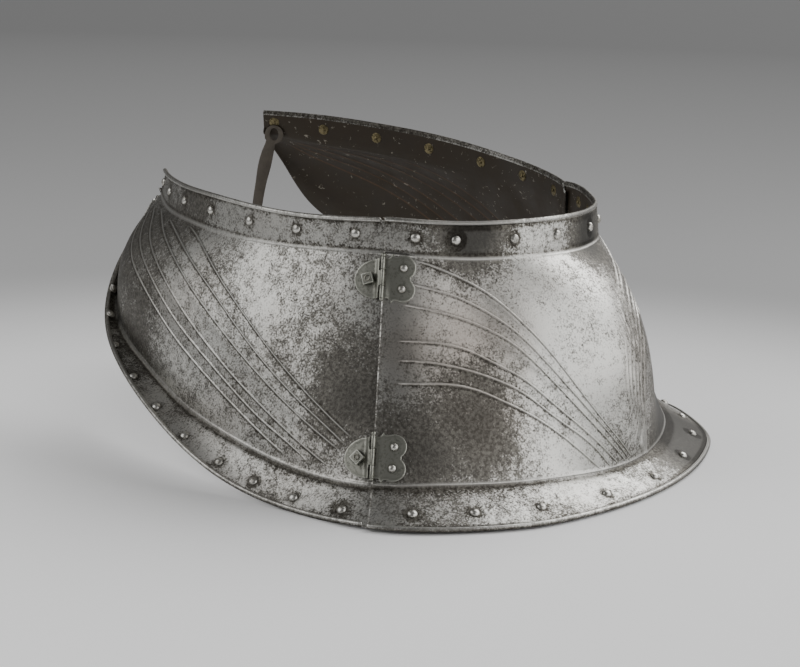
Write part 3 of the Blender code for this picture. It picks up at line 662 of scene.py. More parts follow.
def plate_ring(station, fan, inset, thick, edge, settings, ridges=None):
    """One section's closed outline and its wear, painted highlights and painted shade: rim roll,
    face, lip roll, inner face.  The edge is the rolls' radius and the trims at rim and lip."""
    row = section_at(station)
    radius, top, bottom = edge
    flutes, flute_stations, between = fan
    levels, strengths = flute_levels(row, station, flutes, flute_stations)
    if station < 0.0:
        far_levels = flute_levels(row, station, FAR_FLUTES, FAR_STATIONS)[0]
        blend = float(smooth(-station, 0.0, FAR_BLEND))
        levels = [near + (far - near) * blend for near, far in zip(levels, far_levels)]
        strengths = [0.0] * len(levels)
    z_wall, *wall = wall_rows(row, levels, strengths, between, settings.flute_width,
                              settings.flute_height)
    z_band = np.linspace(row["rim_z"], row["band_z"], BAND_ROWS + 1)[:-1]
    z_all = np.concatenate([z_band, z_wall])
    upper = np.stack([wall_out(row, z_all), z_all], axis=1)
    f = (np.arange(1, FLANGE_ROWS + 1) / FLANGE_ROWS) ** 1.5
    path = np.vstack([upper, flange_point(row, f)])
    path = path - normals_2d(path) * inset
    root_at = BAND_ROWS + len(z_wall) - 1
    path, run = shortened(path, BAND_ROWS, root_at, top + radius, bottom + radius)
    lift, crest, valley = (np.pad(layer, (BAND_ROWS, FLANGE_ROWS)) for layer in wall)
    layers = {"lift": lift, "crest": crest, "valley": valley}
    add_beads(layers, run, {"band": run[BAND_ROWS], "root": run[root_at]})
    if inset > 0.0:
        # Plain where it passes behind the centre plate.
        lift *= smooth(station, SEAM, SEAM + 0.06)
    # Painted shade lies under the rim's roll and over the lip's.
    rolled = smooth(radius, *ROLL_SEEN)
    valley += rolled * (bell(run - run[0] - 1.5, 3.0) + 0.8 * bell(run - run[-1] + 1.5, 2.5))
    normal = normals_2d(path)
    # Each ridge of the left half gets wear and a painted highlight, and dirt on both sides.
    if ridges is not None:
        away = np.array([ridges.find(point)[2] for point in in_space(row, path)])
        wide = settings.flute_width * FAR_WIDE
        groove = GROOVE * bell(away - FAR_GROOVE_AT * wide, wide)
        lift += FAR_TALL * settings.flute_height * (bell(away, wide) - groove)
        crest += bell(away, wide)
        valley += dirt_and_shade_beside(away, wide, FAR_DIRT)
    inner = path - normal * thick
    face = path + normal * lift[:, None]
    # The end rows move half a row in, clear of the rolls.
    face[0] = path[0] + (path[1] - path[0]) * 0.5
    face[-1] = path[-1] + (path[-2] - path[-1]) * 0.5
    across = [math.degrees(math.atan2(n[1], n[0])) for n in (normal[0], normal[-1])]
    rim = roll(inner[0] + normal[0] * radius, across[0] + 180.0, radius)
    lip = roll(inner[-1] + normal[-1] * radius, across[1] + ROLL_TURN - 180.0, radius)
    back, ridge_rows = inner_rows(between, root_at, len(path))
    inside = (inner + normal * (INNER_LIFT * lift)[:, None])[back]
    # Painted highlight on the outer half of each roll, painted shade on its inner half.
    outer = smooth(np.arange(ROLL_ROWS), 3.0, 6.0)
    bright = ROLL_HIGHLIGHT_AND_SHADE[0] * rolled * outer
    dim = ROLL_HIGHLIGHT_AND_SHADE[1] * rolled * (1.0 - outer)
    rust = np.where(np.isin(back, ridge_rows), crest[back], 0.0)
    outside = np.zeros(ROLL_ROWS + len(path) + ROLL_ROWS)
    wear = [np.concatenate([bright, crest, bright[::-1], rust]),
            np.concatenate([dim, valley, dim[::-1], np.zeros(len(back))]),
            np.concatenate([outside, np.ones(len(back))])]
    return in_space(row, np.vstack([rim, face, lip, inside])), np.stack(wear, axis=1)


def centre_ring(station, settings, ridges=None):
    """A section of the centre plate."""
    return plate_ring(station, CENTRE_FAN, 0.0, centre_wall(station, settings),
                      (settings.roll_radius, 0.0, 0.0), settings, ridges)


def side_ring(station, settings):
    """A section of a side plate: trimmed and plain by the seam, and rolled behind it."""
    half = settings.side_thick / 2.0
    rolled = float(smooth(station, *ROLL_STARTS))
    edge = [plain + (full - plain) * rolled
            for plain, full in zip((half, *SEAM_TRIMS), (settings.roll_radius, *SIDE_TRIMS))]
    if station < SEAM - 1e-6:
        edge = (half, *TUCKED_TRIMS)
    return plate_ring(station, SIDE_FAN, SIDE_INSET, settings.side_thick, edge, settings)


def loft(rings, halos, marks):
    """A closed skin through rings of points, from a grid that is rolled up and sewn along its
    long edge; wear, painted highlights and painted shade go into the attributes that its finish
    reads."""
    points = np.array([ring for ring, wear in rings])
    values = np.array([wear for ring, wear in rings])
    columns, rows = points.shape[:2]
    mesh = bmesh.new()
    bmesh.ops.create_grid(mesh, x_segments=columns - 1, y_segments=rows, size=1.0)
    layers = [mesh.verts.layers.float.new(key)
              for key in ("crest", "valley", "inside", "halo", "tarnish_and_shade", "polish_and_sheen", "warm")]
    aged = age(points, halos, marks)
    for vert in mesh.verts:
        i = round((vert.co.x + 1.0) / 2.0 * (columns - 1))
        j = round((vert.co.y + 1.0) / 2.0 * rows) % rows
        vert.co = points[i, j]
        for layer, value in zip(layers, (*values[i, j], *aged[i, j])):
            vert[layer] = value
    bmesh.ops.remove_doubles(mesh, verts=mesh.verts, dist=1e-4)
    open_edges = [edge for edge in mesh.edges if edge.is_boundary]
    bmesh.ops.holes_fill(mesh, edges=open_edges, sides=0)
    bmesh.ops.recalc_face_normals(mesh, faces=mesh.faces)
    if mesh.calc_volume(signed=True) < 0.0:
        bmesh.ops.reverse_faces(mesh, faces=mesh.faces)
    caps = [face for face in mesh.faces if len(face.verts) > 4]
    inside = layers[2]
    for face in mesh.faces:
        face.material_index = 1 if all(v[inside] > 0.5 for v in face.verts) else 0
        face.smooth = len(face.verts) <= 4
    bmesh.ops.triangulate(mesh, faces=caps, ngon_method="EAR_CLIP")
    return mesh


def age(points, halos, marks):
    """Darkening round the rivets, then how dark, how polished and how brown the steel is, where
    the dark and the polish are partly marks of age and partly painted shade and painted highlight.
    """
    dirt, dark, polish_and_sheen, warm = (np.zeros(points.shape[:-1]) for _ in range(4))
    for place, reach, strength in halos:
        distance = np.linalg.norm(points - place, axis=-1)
        near = 1.0 - smooth(distance, HALO_START, HALO_SPREAD * reach)
        dirt = np.maximum(dirt, HALO_DARKENING * strength * near)
    for row in marks:
        mark = dict(zip(MARK_COLUMNS, row))
        distance = np.linalg.norm(points - face_point(mark["station"], mark["z"]), axis=-1)
        near = 1.0 - smooth(distance, 0.0, MARK_SPREAD * mark["reach"])
        dark = np.maximum(dark, mark["dark"] * near)
        polish_and_sheen = np.maximum(polish_and_sheen, mark["polish_and_sheen"] * near)
        warm = np.maximum(warm, mark["warm"] * near)
    return np.stack([dirt, dark, polish_and_sheen * np.clip(1.0 - dark, 0.0, 1.0), warm], axis=-1)


def armour_matrix():
    """From millimetres in the armour's frame to metres in the row frame: its x comes from the
    two hinges, and its y and z from the box of the centre plate."""
    lean = Matrix.Rotation(math.radians(-LEAN_BACK), 4, "X") @ Matrix.Scale(MM, 4)
    settings = bpy.context.scene.peytral_plates
    rings = [centre_ring(station, settings)[0] for station in np.linspace(-SEAM, SEAM, 33)]
    points = np.array([lean @ Vector(point) for point in np.vstack(rings)])
    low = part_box("centre_plate")[0]
    x = (JOINTS["hinge_right"]["pos_m"][0] + JOINTS["hinge_left"]["pos_m"][0]) / 2.0
    lean.translation = (x, low[1] - points[:, 1].min(), low[2] - points[:, 2].min())
    return lean


def left_matrix(place):
    """The left side plate is the right one mirrored, then opened about its own pin."""
    joint = JOINTS["hinge_left"]
    pin = Vector(joint["pos_m"])
    turn = Matrix.Rotation(math.radians(LEFT_OPEN), 4, Vector(joint["axis"]))
    opened = Matrix.Translation(pin) @ turn @ Matrix.Translation(-pin)
    return opened @ place @ MIRROR


def settle(name, mesh, matrix, body, materials):
    """Put a mesh in the row frame as an object that rides on a body."""
    mesh.transform(matrix)
    if matrix.determinant() < 0.0:
        bmesh.ops.reverse_faces(mesh, faces=mesh.faces)
    piece = new_object(name, as_data(mesh, name))
    for material in materials:
        piece.data.materials.append(material)
    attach(piece, body)
    return piece


# ---- rivets ---------------------------------------------------------------------------------------
def seat_on(row_station, where, inset):
    """The place of a border rivet and the normal there, in the armour's frame: where is 'top' for
    the band and 'flange' for the foot."""
    def at(station, shift):
        row = section_at(station)
        if where == "top":
            z = row["rim_z"] + (row["band_z"] - row["rim_z"]) * TOP_SEAT - shift
            point = np.array([[float(wall_out(row, z)), z]])
        else:
            f = FLANGE_SEAT + shift / FLANGE_MM
            point = flange_point(row, np.array([f]))
        return in_space(row, point)[0]

    ahead = at(row_station + 0.02, 0.0) - at(row_station - 0.02, 0.0)
    down = at(row_station, 1.0) - at(row_station, -1.0)
    normal = np.cross(ahead, down)
    normal /= np.linalg.norm(normal)
    row = section_at(row_station)
    heading = math.radians(row["heading"])
    outward = np.array([-math.sin(heading), -math.cos(heading), 0.6])
    if normal @ outward < 0.0:
        normal = -normal
    return at(row_station, 0.0) - normal * inset, normal


def dome_shape(segments):
    """The upper half of a sphere of radius 1, closed below, as mesh data."""
    mesh = bmesh.new()
    bmesh.ops.create_uvsphere(mesh, u_segments=segments, v_segments=12, radius=1.0)
    bmesh.ops.bisect_plane(mesh, geom=mesh.verts[:] + mesh.edges[:] + mesh.faces[:], dist=1e-5,
                           plane_co=(0, 0, -0.1), plane_no=(0, 0, -1), clear_outer=True)
    bmesh.ops.holes_fill(mesh, edges=[edge for edge in mesh.edges if edge.is_boundary], sides=0)
    return as_data(mesh, "dome")


def add_dome(mesh, dome, place, radius, height):
    """A domed head, squashed to its radius and height."""
    add_shape(mesh, dome, place @ Matrix.Diagonal((radius, radius, height, 1.0)))


def rivet_places(centre):
    """Every border rivet of a plate as (station, where)."""
    if centre:
        stations = [(s, "top") for s in CENTRE_TOP_RIVETS]
        stations += [(-s, "top") for s in CENTRE_TOP_RIVETS]
        stations += [(s, "flange") for s in CENTRE_FLANGE_RIVETS]
        stations += [(-s, "flange") for s in CENTRE_FLANGE_RIVETS if s > 0.0]
        return stations
    return [(s, "top") for s in SIDE_TOP_RIVETS] + [(s, "flange") for s in SIDE_FLANGE_RIVETS]


def halos_for(centre):
    """The darkening round a plate's border rivets as (place, reach, strength)."""
    halos = []
    for index, (station, where) in enumerate(rivet_places(centre)):
        reach = np.interp((index * 7) % 5, (0, 4), HALO_REACHES)
        strength = np.interp((index * 3) % 4, (0, 3), HALO_STRENGTHS)
        if not centre and station == SIDE_FLANGE_RIVETS[0]:
            reach = WIDE_HALO
        place = seat_on(station, where, 0.0 if centre else SIDE_INSET)[0]
        halos.append((place, reach, strength))
    return halos


# ---- hinges ---------------------------------------------------------------------------------------
class Hinge:
    """One hinge of the right seam: u runs forward over the centre plate, v up the pin and n out."""

    def __init__(self, level):
        feet = {}
        row = section_at(SEAM)
        ends = in_space(row, np.array([[0.0, 0.0], [1.0, 0.0]]))
        out = Vector(ends[1] - ends[0])
        for key, z in HINGE_HEIGHTS.items():
            step = Vector(face_point(SEAM, z + 1.0) - face_point(SEAM, z - 1.0))
            normal = (out - step * (out.dot(step) / step.length_squared)).normalized()
            feet[key] = Vector(face_point(SEAM, z)) + normal * AXIS_STAND
            if key == level:
                outward = normal
        self.axis = (feet["upper"] - feet["lower"]).normalized()
        self.centre = feet[level]
        self.normal = (outward - self.axis * outward.dot(self.axis)).normalized()
        self.forward = self.axis.cross(self.normal)

    def point(self, u, v, n):
        return self.centre + self.forward * u + self.axis * v + self.normal * n

    def face_height(self, u, v):
        """Where the nominal face lies below the pin's axis at (u, v), by Newton's method."""
        station = SEAM - u / 40.0       # a first guess
        z = self.centre.z + v * self.axis.z
        n = -AXIS_STAND
        for _ in range(5):
            base = Vector(face_point(station, z))
            error = self.point(u, v, n) - base
            by_station = (Vector(face_point(station + 0.01, z)) - base) / 0.01
            by_z = (Vector(face_point(station, z + 0.5)) - base) / 0.5
            step = np.linalg.solve(np.array([by_station, by_z, -self.normal]).T, np.array(error))
            station, z, n = station + step[0], z + step[1], n + step[2]
        return n


def surface_terms(u, v):
    """The terms of the surface that stands for the plate round a hinge."""
    return np.array([1.0, u, v, u * u, u * v, v * v, u ** 3, v * u * u])


def leaf_grid(hinge, drop):
    """Heights of a leaf's underside over its (u, v) square, as a cubic fitted to the plate."""
    places = [(u, v) for u in (-30, -20, -10, 0, 10, 20, 33) for v in (-24, -12, 0, 12, 24)]
    terms = np.array([surface_terms(u, v) for u, v in places])
    heights = [hinge.face_height(u, v) - drop for u, v in places]
    return np.linalg.lstsq(terms, np.array(heights), rcond=None)[0]


def leaf_under(fit, u, v):
    """Underside of a leaf along the hinge's normal: close to the pin, then down to the plate."""
    f = float(smooth(abs(u), KNUCKLE_RADIUS, KNUCKLE_RADIUS + LEAF_RUN[u < 0.0]))
    plate = float(fit @ surface_terms(u, v)) + LEAF_GAP
    return (KNUCKLE_DROP - LEAF_THICK) * (1.0 - f) + plate * f


def leaf_seat(hinge, fit, u, v):
    """A point on the underside of a leaf and the leaf's normal there."""
    def at(du, dv):
        return hinge.point(u + du, v + dv, leaf_under(fit, u + du, v + dv))

    normal = (at(0.5, 0.0) - at(-0.5, 0.0)).cross(at(0.0, 0.5) - at(0.0, -0.5)).normalized()
    if normal.dot(hinge.normal) < 0.0:
        normal.negate()
    return at(0.0, 0.0), normal


def on_leaf(hinge, fit, at):
    """A matrix that stands a fixing on a leaf's outer face."""
    point, normal = leaf_seat(hinge, fit, *at)
    return upright(point + normal * LEAF_THICK, normal, hinge.axis)


def arc(centre, radius, start, end, steps):
    """Points round part of a circle, its ends in degrees."""
    angles = np.radians(np.linspace(start, end, steps))
    return [(centre[0] + radius * math.cos(a), centre[1] + radius * math.sin(a)) for a in angles]


def centre_leaf_outline():
    """Two lobes with a cusp between them and a small nib above and below, notched for the
    side leaf's knuckle."""
    notch = KNUCKLE_HALF + 1.5 * KNUCKLE_GAP
    upper = [(0.4, notch), (0.4, BARREL_HALF - 0.3), (5.5, 20.2), (7.4, 21.2), (9.4, 24.4),
             (11.2, 21.9), (13.6, 21.6)]
    upper += arc((20.5, 11.0), 12.0, 112.0, -52.0, 22)
    lower = [(u, -v) for u, v in reversed(upper)]
    return [(BORE, -notch), (BORE, notch)] + upper + lower


def side_leaf_outline():
    """A half round leaf, a little pointed, notched for the centre leaf's two knuckles."""
    curve = [(-BORE - 25.0 * math.sin(a) ** 0.92, 20.0 * math.cos(a))
             for a in np.radians(np.linspace(4.0, 176.0, 33))]
    end = KNUCKLE_HALF - 0.5
    tongue = [(-BORE, -end), (-0.4, -end), (-0.4, end), (-BORE, end)]
    return tongue[1:] + [(-BORE, 20.4)] + curve + [(-BORE, -20.4), tongue[0]]


def leaf(hinge, outline, drop, fixings):
    """A leaf with bevelled edges, bent to follow the plate, with wear and a painted highlight along
    its edges and darker round its fixings.
    """
    mesh = bmesh.new()
    mesh.faces.new([mesh.verts.new((u, v, 0.0)) for u, v in outline])
    thicken(mesh, LEAF_THICK)
    rim = [edge for edge in mesh.edges if all(v.co.z > 0.5 * LEAF_THICK for v in edge.verts)]
    round_over(mesh, rim, LEAF_ROUND)
    crest = mesh.verts.layers.float.new("crest")
    valley = mesh.verts.layers.float.new("valley")
    for along, low, high in ((Vector((1, 0, 0)), -29.0, 34.0), (Vector((0, 1, 0)), -24.0, 25.0)):
        for step in np.arange(low, high, LEAF_STEP):
            bmesh.ops.bisect_plane(mesh, geom=mesh.verts[:] + mesh.edges[:] + mesh.faces[:],
                                   plane_co=along * step, plane_no=along, dist=1e-4)
    bmesh.ops.triangulate(mesh, faces=mesh.faces[:])
    edge_line = np.array(outline + outline[:1])
    fit = leaf_grid(hinge, drop)
    for vert in mesh.verts:
        u, v, w = vert.co
        point, normal = leaf_seat(hinge, fit, u, v)
        vert.co = point + normal * w
        inward = distance_to(edge_line, u, v)
        # Painted highlight, with some wear, along the edges away from the barrel; a darker band
        # inside them and round the fixings.
        vert[crest] = 0.8 * float(bell(inward, 0.45)) * float(smooth(abs(u), 4.0, 7.0))
        vert[valley] = max([0.4 * float(bell(inward - 2.0, 1.0))] + [
            float(1.0 - smooth(math.hypot(u - a, v - b), r, r + 2.6)) for a, b, r in fixings])
    return mesh, fit


def distance_to(line, u, v):
    """Distance from (u, v) to a line through points."""
    start, step = line[:-1], np.diff(line, axis=0)
    offset = np.array([u, v]) - start
    size = np.maximum((step ** 2).sum(axis=1), 1e-9)
    t = np.clip((offset * step).sum(axis=1) / size, 0.0, 1.0)
    return float(np.sqrt(((offset - step * t[:, None]) ** 2).sum(axis=1)).min())


def add_knuckle(mesh, hinge, low, high):
    """A length of the barrel, with its ends a little rounded."""
    made = bmesh.ops.create_cone(
        mesh, cap_ends=True, segments=24, radius1=KNUCKLE_RADIUS, radius2=KNUCKLE_RADIUS,
        depth=high - low, matrix=upright(hinge.point(0, (low + high) / 2.0, 0), hinge.axis,
                                         hinge.forward))
    ends = [edge for edge in dict.fromkeys(e for v in made["verts"] for e in v.link_edges)
            if any(len(face.verts) > 4 for face in edge.link_faces)]
    round_over(mesh, ends, LEAF_ROUND)


def turned(profile, steps=20):
    """A profile of (radius, height) spun about Z, as mesh data."""
    mesh = bmesh.new()
    verts = [mesh.verts.new((radius, 0.0, z)) for radius, z in profile]
    edges = [mesh.edges.new(pair) for pair in zip(verts, verts[1:])]
    bmesh.ops.spin(mesh, geom=verts + edges, cent=(0, 0, 0), axis=(0, 0, 1),
                   angle=math.tau, steps=steps, use_merge=True)
    bmesh.ops.remove_doubles(mesh, verts=mesh.verts, dist=1e-3)
    bmesh.ops.recalc_face_normals(mesh, faces=mesh.faces)
    return as_data(mesh, "turned")


def pin_profile():
    """A pin's outline from its lower end to the ball at its upper end."""
    end = BARREL_HALF + PIN_CLEAR
    lower = [(radius, -end - height) for radius, height in PIN_LOWER]
    return lower + [(radius, end + height) for radius, height in PIN_UPPER]


def add_shape(mesh, data, matrix):
    """Join a copy of some mesh data, put in place by a matrix."""
    before = len(mesh.verts)
    mesh.from_mesh(data)
    mesh.verts.ensure_lookup_table()
    bmesh.ops.transform(mesh, matrix=matrix, verts=mesh.verts[before:])


def add_nut(mesh, place, turn):
    """A square nut with every edge rounded over, rubbed bright and given a painted highlight, and
    darker flats.
    """
    spin = Matrix.Rotation(math.radians(turn), 4, "Z") @ Matrix.Translation((0, 0, NUT_MIDDLE))
    size = Matrix.Diagonal((NUT_SIDE, NUT_SIDE, NUT_THICK, 1.0))
    bmesh.ops.create_cube(mesh, size=1.0, matrix=place @ spin @ size)
    round_over(mesh, mesh.edges[:], NUT_ROUND)
    crest = mesh.verts.layers.float.new("crest")
    mesh.verts.layers.float.new("valley")
    for vert in mesh.verts:
        vert[crest] = 1.0
    strip = NUT_SIDE * NUT_ROUND * 2.0
    flats = [face for face in mesh.faces if face.calc_area() > strip]
    bmesh.ops.inset_individual(mesh, faces=flats, thickness=NUT_RUB_AND_SHEEN, depth=0.0)
    for vert in {vert for face in flats for vert in face.verts}:
        vert[crest] = 0.0


def smooth_by_angle(mesh, degrees):
    """Smooth shading, with the edges sharper than an angle kept crisp."""
    for face in mesh.faces:
        face.smooth = True
    for edge in mesh.edges:
        edge.smooth = len(edge.link_faces) == 2 and edge.calc_face_angle(0.0) < math.radians(degrees)


# ---- strap ----------------------------------------------------------------------------------------
STRAP_AT = (9.79, 243.0)    # station and height of its eye, inside the tip
STRAP_STAND = 4.6           # how far its middle stands inside the plate
STRAP_THICK = 2.4
STRAP_DROP = 125.0          # its length below the eye, and how far it slants over that
STRAP_SLANT = 24.0
STRAP_SHIFT = -3.0
STRAP_ROUND = 0.6
# Its width at shares of its length, and a slow ripple: height, length over tau, and where it grows.
STRAP_WIDTHS = ((0.10, 13.0), (0.22, 16.5), (0.36, 17.0), (0.52, 14.0), (0.75, 13.0), (1.0, 12.5))
RIPPLE = 1.6
RIPPLE_MM = 17.0
RIPPLE_FROM = (10.0, 60.0)
EYE = (12.0, 12.5)          # half widths of the eye and of its hole
EYE_HOLE = (5.6, 8.4)


def strap_mesh(thick):
    """A limp strap with a sewn eye, swollen below it where the ends are lapped."""
    def edge(t, side):
        width = float(np.interp(t, *zip(*STRAP_WIDTHS)))
        middle = STRAP_SLANT * t ** 0.5 + STRAP_SHIFT
        return (middle + side * width / 2.0, -STRAP_DROP * t)

    steps = np.linspace(0.10, 1.0, 12)
    eye = [(EYE[0] * math.cos(a), EYE[1] * math.sin(a))
           for a in np.radians(np.linspace(-35, 222, 24))]
    hole = [(EYE_HOLE[0] * math.cos(a), EYE_HOLE[1] * math.sin(a) + 0.5)
            for a in np.radians(np.arange(0, 360, 20))]
    mesh = bmesh.new()
    edges = []
    for line in (eye + [edge(t, -1) for t in steps] + [edge(t, 1) for t in steps[::-1]], hole):
        ring = [mesh.verts.new((u, v, 0.0)) for u, v in line]
        edges += [mesh.edges.new(pair) for pair in zip(ring, ring[1:] + ring[:1])]
    bmesh.ops.triangle_fill(mesh, edges=edges, use_beauty=True, use_dissolve=False)
    thicken(mesh, STRAP_THICK)
    rim = [item for item in mesh.edges if item.calc_face_angle(0.0) > 1.0
           and len({round(v.co.z, 3) for v in item.verts}) == 1]
    round_over(mesh, rim, STRAP_ROUND)
    for vert in mesh.verts:
        grown = float(smooth(-vert.co.y, *RIPPLE_FROM))
        vert.co.z += RIPPLE * math.sin(vert.co.y / RIPPLE_MM) * grown
    station, z = STRAP_AT
    row = section_at(station)
    along = Vector(in_space(section_at(station + 0.05), np.zeros(2)) - in_space(row, np.zeros(2)))
    along.z = 0.0
    along.normalize()
    out = Vector(in_space(row, np.array([1.0, 0.0])) - in_space(row, np.zeros(2)))
    inward = along.cross(UP)
    if inward.dot(out) > 0.0:
        inward.negate()
    place = Matrix((along, UP, inward)).transposed().to_4x4()
    place.translation = Vector(face_point(station, z)) + inward * (SIDE_INSET + thick + STRAP_STAND)
    mesh.transform(place)
    bmesh.ops.recalc_face_normals(mesh, faces=mesh.faces)
    return mesh


# ---- finishes -------------------------------------------------------------------------------------
def connect(tree, node, inputs):
    """Give a node its inputs: each is either a socket to link or a value."""
    for key, value in inputs.items():
        if isinstance(value, bpy.types.NodeSocket):
            tree.links.new(value, node.inputs[key])
        else:
            node.inputs[key].default_value = value


def add(tree, kind, settings, inputs):
    """Add a node with its settings and inputs."""
    node = tree.nodes.new(kind)
    for key, value in settings.items():
        setattr(node, key, value)
    connect(tree, node, inputs)
    return node


def per_metre(millimetres):
    """A texture's scale for a feature of this size."""
    return 1000.0 / millimetres


def new_material(name):
    """A material with its tree and shader, or without them if it has been made before."""
    material = bpy.data.materials.get(name)
    if material is not None:
        return material, None, None
    material = bpy.data.materials.new(name)
    material.use_nodes = True
    tree = material.node_tree
    return material, tree, tree.nodes["Principled BSDF"]


def opaque(color):
    """A colour with an alpha of 1."""
    return (*color, 1.0)


def patinated_steel():
    """Hammered and polished mild steel, four centuries old: bright where it is handled and where a
    highlight is painted, with dark oxide in fine pits and in clouds, and dirt and painted shade in
    every corner."""
    finish = bpy.context.scene.peytral_finish
    material, tree, shader = new_material("patinated_steel")
    if tree is None:
        return material
    place = add(tree, "ShaderNodeTexCoord", {}, {}).outputs["Object"]
    crest, valley, halo, polish_and_sheen, warm, tarnish_and_shade = (
        add(tree, "ShaderNodeAttribute", {"attribute_name": key}, {}).outputs["Fac"]
        for key in ("crest", "valley", "halo", "polish_and_sheen", "warm", "tarnish_and_shade"))
    clouds = add(tree, "ShaderNodeTexNoise", {}, {
        "Vector": place, "Scale": per_metre(55.0), "Detail": 3.0, "Roughness": 0.55})
    mottle = add(tree, "ShaderNodeTexNoise", {}, {
        "Vector": place, "Scale": per_metre(8.0), "Detail": 5.0, "Roughness": 0.75})
    grain = add(tree, "ShaderNodeTexNoise", {}, {
        "Vector": place, "Scale": per_metre(1.9), "Detail": 1.0, "Roughness": 0.6})
    # The three sizes of oxide added up: clouds and the patches, which are marks of age and painted
    # shade, decide where the specks close up.
    total = mottle.outputs["Fac"]
    for part, amount in ((clouds.outputs["Fac"], 0.7), (grain.outputs["Fac"], 0.9),
                         (tarnish_and_shade, 0.26), (polish_and_sheen, -0.2)):
        total = add(tree, "ShaderNodeMath", {"operation": "MULTIPLY_ADD"}, {
            0: part, 1: amount, 2: total}).outputs[0]
    oxide = add(tree, "ShaderNodeMapRange", {"interpolation_type": "SMOOTHSTEP"}, {
        "Value": total, "From Min": 1.08, "From Max": 1.54, "To Min": 0.0, "To Max": 0.92})
    dirt = add(tree, "ShaderNodeMath", {"operation": "MAXIMUM"}, {0: valley, 1: halo})
    # Dirt and painted shade in the corners, and the darkening round rivets, follow the mottling, so
    # that no halo is a clean disc.
    dirt_and_shade_breakup = add(tree, "ShaderNodeMath", {"operation": "MULTIPLY_ADD"}, {
        0: mottle.outputs["Fac"], 1: 1.0, 2: 0.35})
    dirt_and_shade_mottled = add(tree, "ShaderNodeMath", {"operation": "MULTIPLY", "use_clamp": True}, {
        0: dirt.outputs[0], 1: dirt_and_shade_breakup.outputs[0]})
    # Polish, and the painted highlight with it, takes away most of the dirt and painted shade too.
    left = add(tree, "ShaderNodeMath", {"operation": "MULTIPLY_ADD"}, {
        0: polish_and_sheen, 1: -0.45, 2: 1.0})
    cleaned = add(tree, "ShaderNodeMath", {"operation": "MULTIPLY"}, {
        0: dirt_and_shade_mottled.outputs[0], 1: left.outputs[0]})
    either = add(tree, "ShaderNodeMath", {"operation": "ADD", "use_clamp": True}, {
        0: oxide.outputs[0], 1: cleaned.outputs[0]})
    # Crests, worn bright and given a painted highlight, lose most of the oxide, dirt and painted
    # shade.
    worn = add(tree, "ShaderNodeMath", {"operation": "MULTIPLY_ADD", "use_clamp": True}, {
        0: crest, 1: -0.9, 2: 1.0})
    dark = add(tree, "ShaderNodeMath", {"operation": "MULTIPLY", "use_clamp": True}, {
        0: either.outputs[0], 1: worn.outputs[0]})
    brown = add(tree, "ShaderNodeTexNoise", {}, {
        "Vector": place, "Scale": per_metre(140.0), "Detail": 2.0, "Roughness": 0.5})
    brown_where = add(tree, "ShaderNodeMapRange", {"interpolation_type": "SMOOTHSTEP"}, {
        "Value": brown.outputs["Fac"], "From Min": 0.45, "From Max": 0.7, "To Min": 0.0,
        "To Max": 0.18})
    browned = add(tree, "ShaderNodeMath", {"operation": "MULTIPLY_ADD", "use_clamp": True}, {
        0: warm, 1: 0.38, 2: brown_where.outputs[0]})
    base = add(tree, "ShaderNodeMix", {"data_type": "RGBA"}, {
        0: browned.outputs[0], 6: opaque(finish.steel), 7: opaque(finish.warm)})
    # The oxide itself is crystalline: near black with paler crumbs in it.
    crumbs = add(tree, "ShaderNodeTexNoise", {}, {
        "Vector": place, "Scale": per_metre(3.4), "Detail": 4.0, "Roughness": 0.7})
    paler = add(tree, "ShaderNodeMapRange", {"interpolation_type": "SMOOTHSTEP"}, {
        "Value": crumbs.outputs["Fac"], "From Min": 0.36, "From Max": 0.66, "To Min": 0.0,
        "To Max": 1.0})
    scale = add(tree, "ShaderNodeMix", {"data_type": "RGBA"}, {
        0: paler.outputs[0], 6: opaque(finish.patina), 7: opaque(linear("716E67"))})
    # The darkest patches, oxide and painted shade, go near black.
    deep = add(tree, "ShaderNodeMapRange", {}, {
        "Value": tarnish_and_shade, "From Min": 1.2, "From Max": 2.3, "To Min": 0.0, "To Max": 0.85})
    deepest = add(tree, "ShaderNodeMix", {"data_type": "RGBA"}, {
        0: deep.outputs[0], 6: scale.outputs[2], 7: opaque(linear("23211E"))})
    color = add(tree, "ShaderNodeMix", {"data_type": "RGBA"}, {
        0: dark.outputs[0], 6: base.outputs[2], 7: deepest.outputs[2]})
    rough = add(tree, "ShaderNodeMapRange", {}, {
        "Value": dark.outputs[0], "From Min": 0.0, "From Max": 1.0, "To Min": 0.34,
        "To Max": 0.58})
    # Pits a few hundredths of a millimetre deep, drawn at 2 mm so that they show.
    height = add(tree, "ShaderNodeMath", {"operation": "MULTIPLY_ADD"}, {
        0: dark.outputs[0], 1: -0.35, 2: grain.outputs["Fac"]})
    bump = add(tree, "ShaderNodeBump", {}, {
        "Strength": 0.3, "Distance": 0.0006, "Height": height.outputs[0]})
    connect(tree, shader, {
        "Base Color": color.outputs[2], "Roughness": rough.outputs[0],
        "Normal": bump.outputs["Normal"], "Metallic": 1.0})
    return material


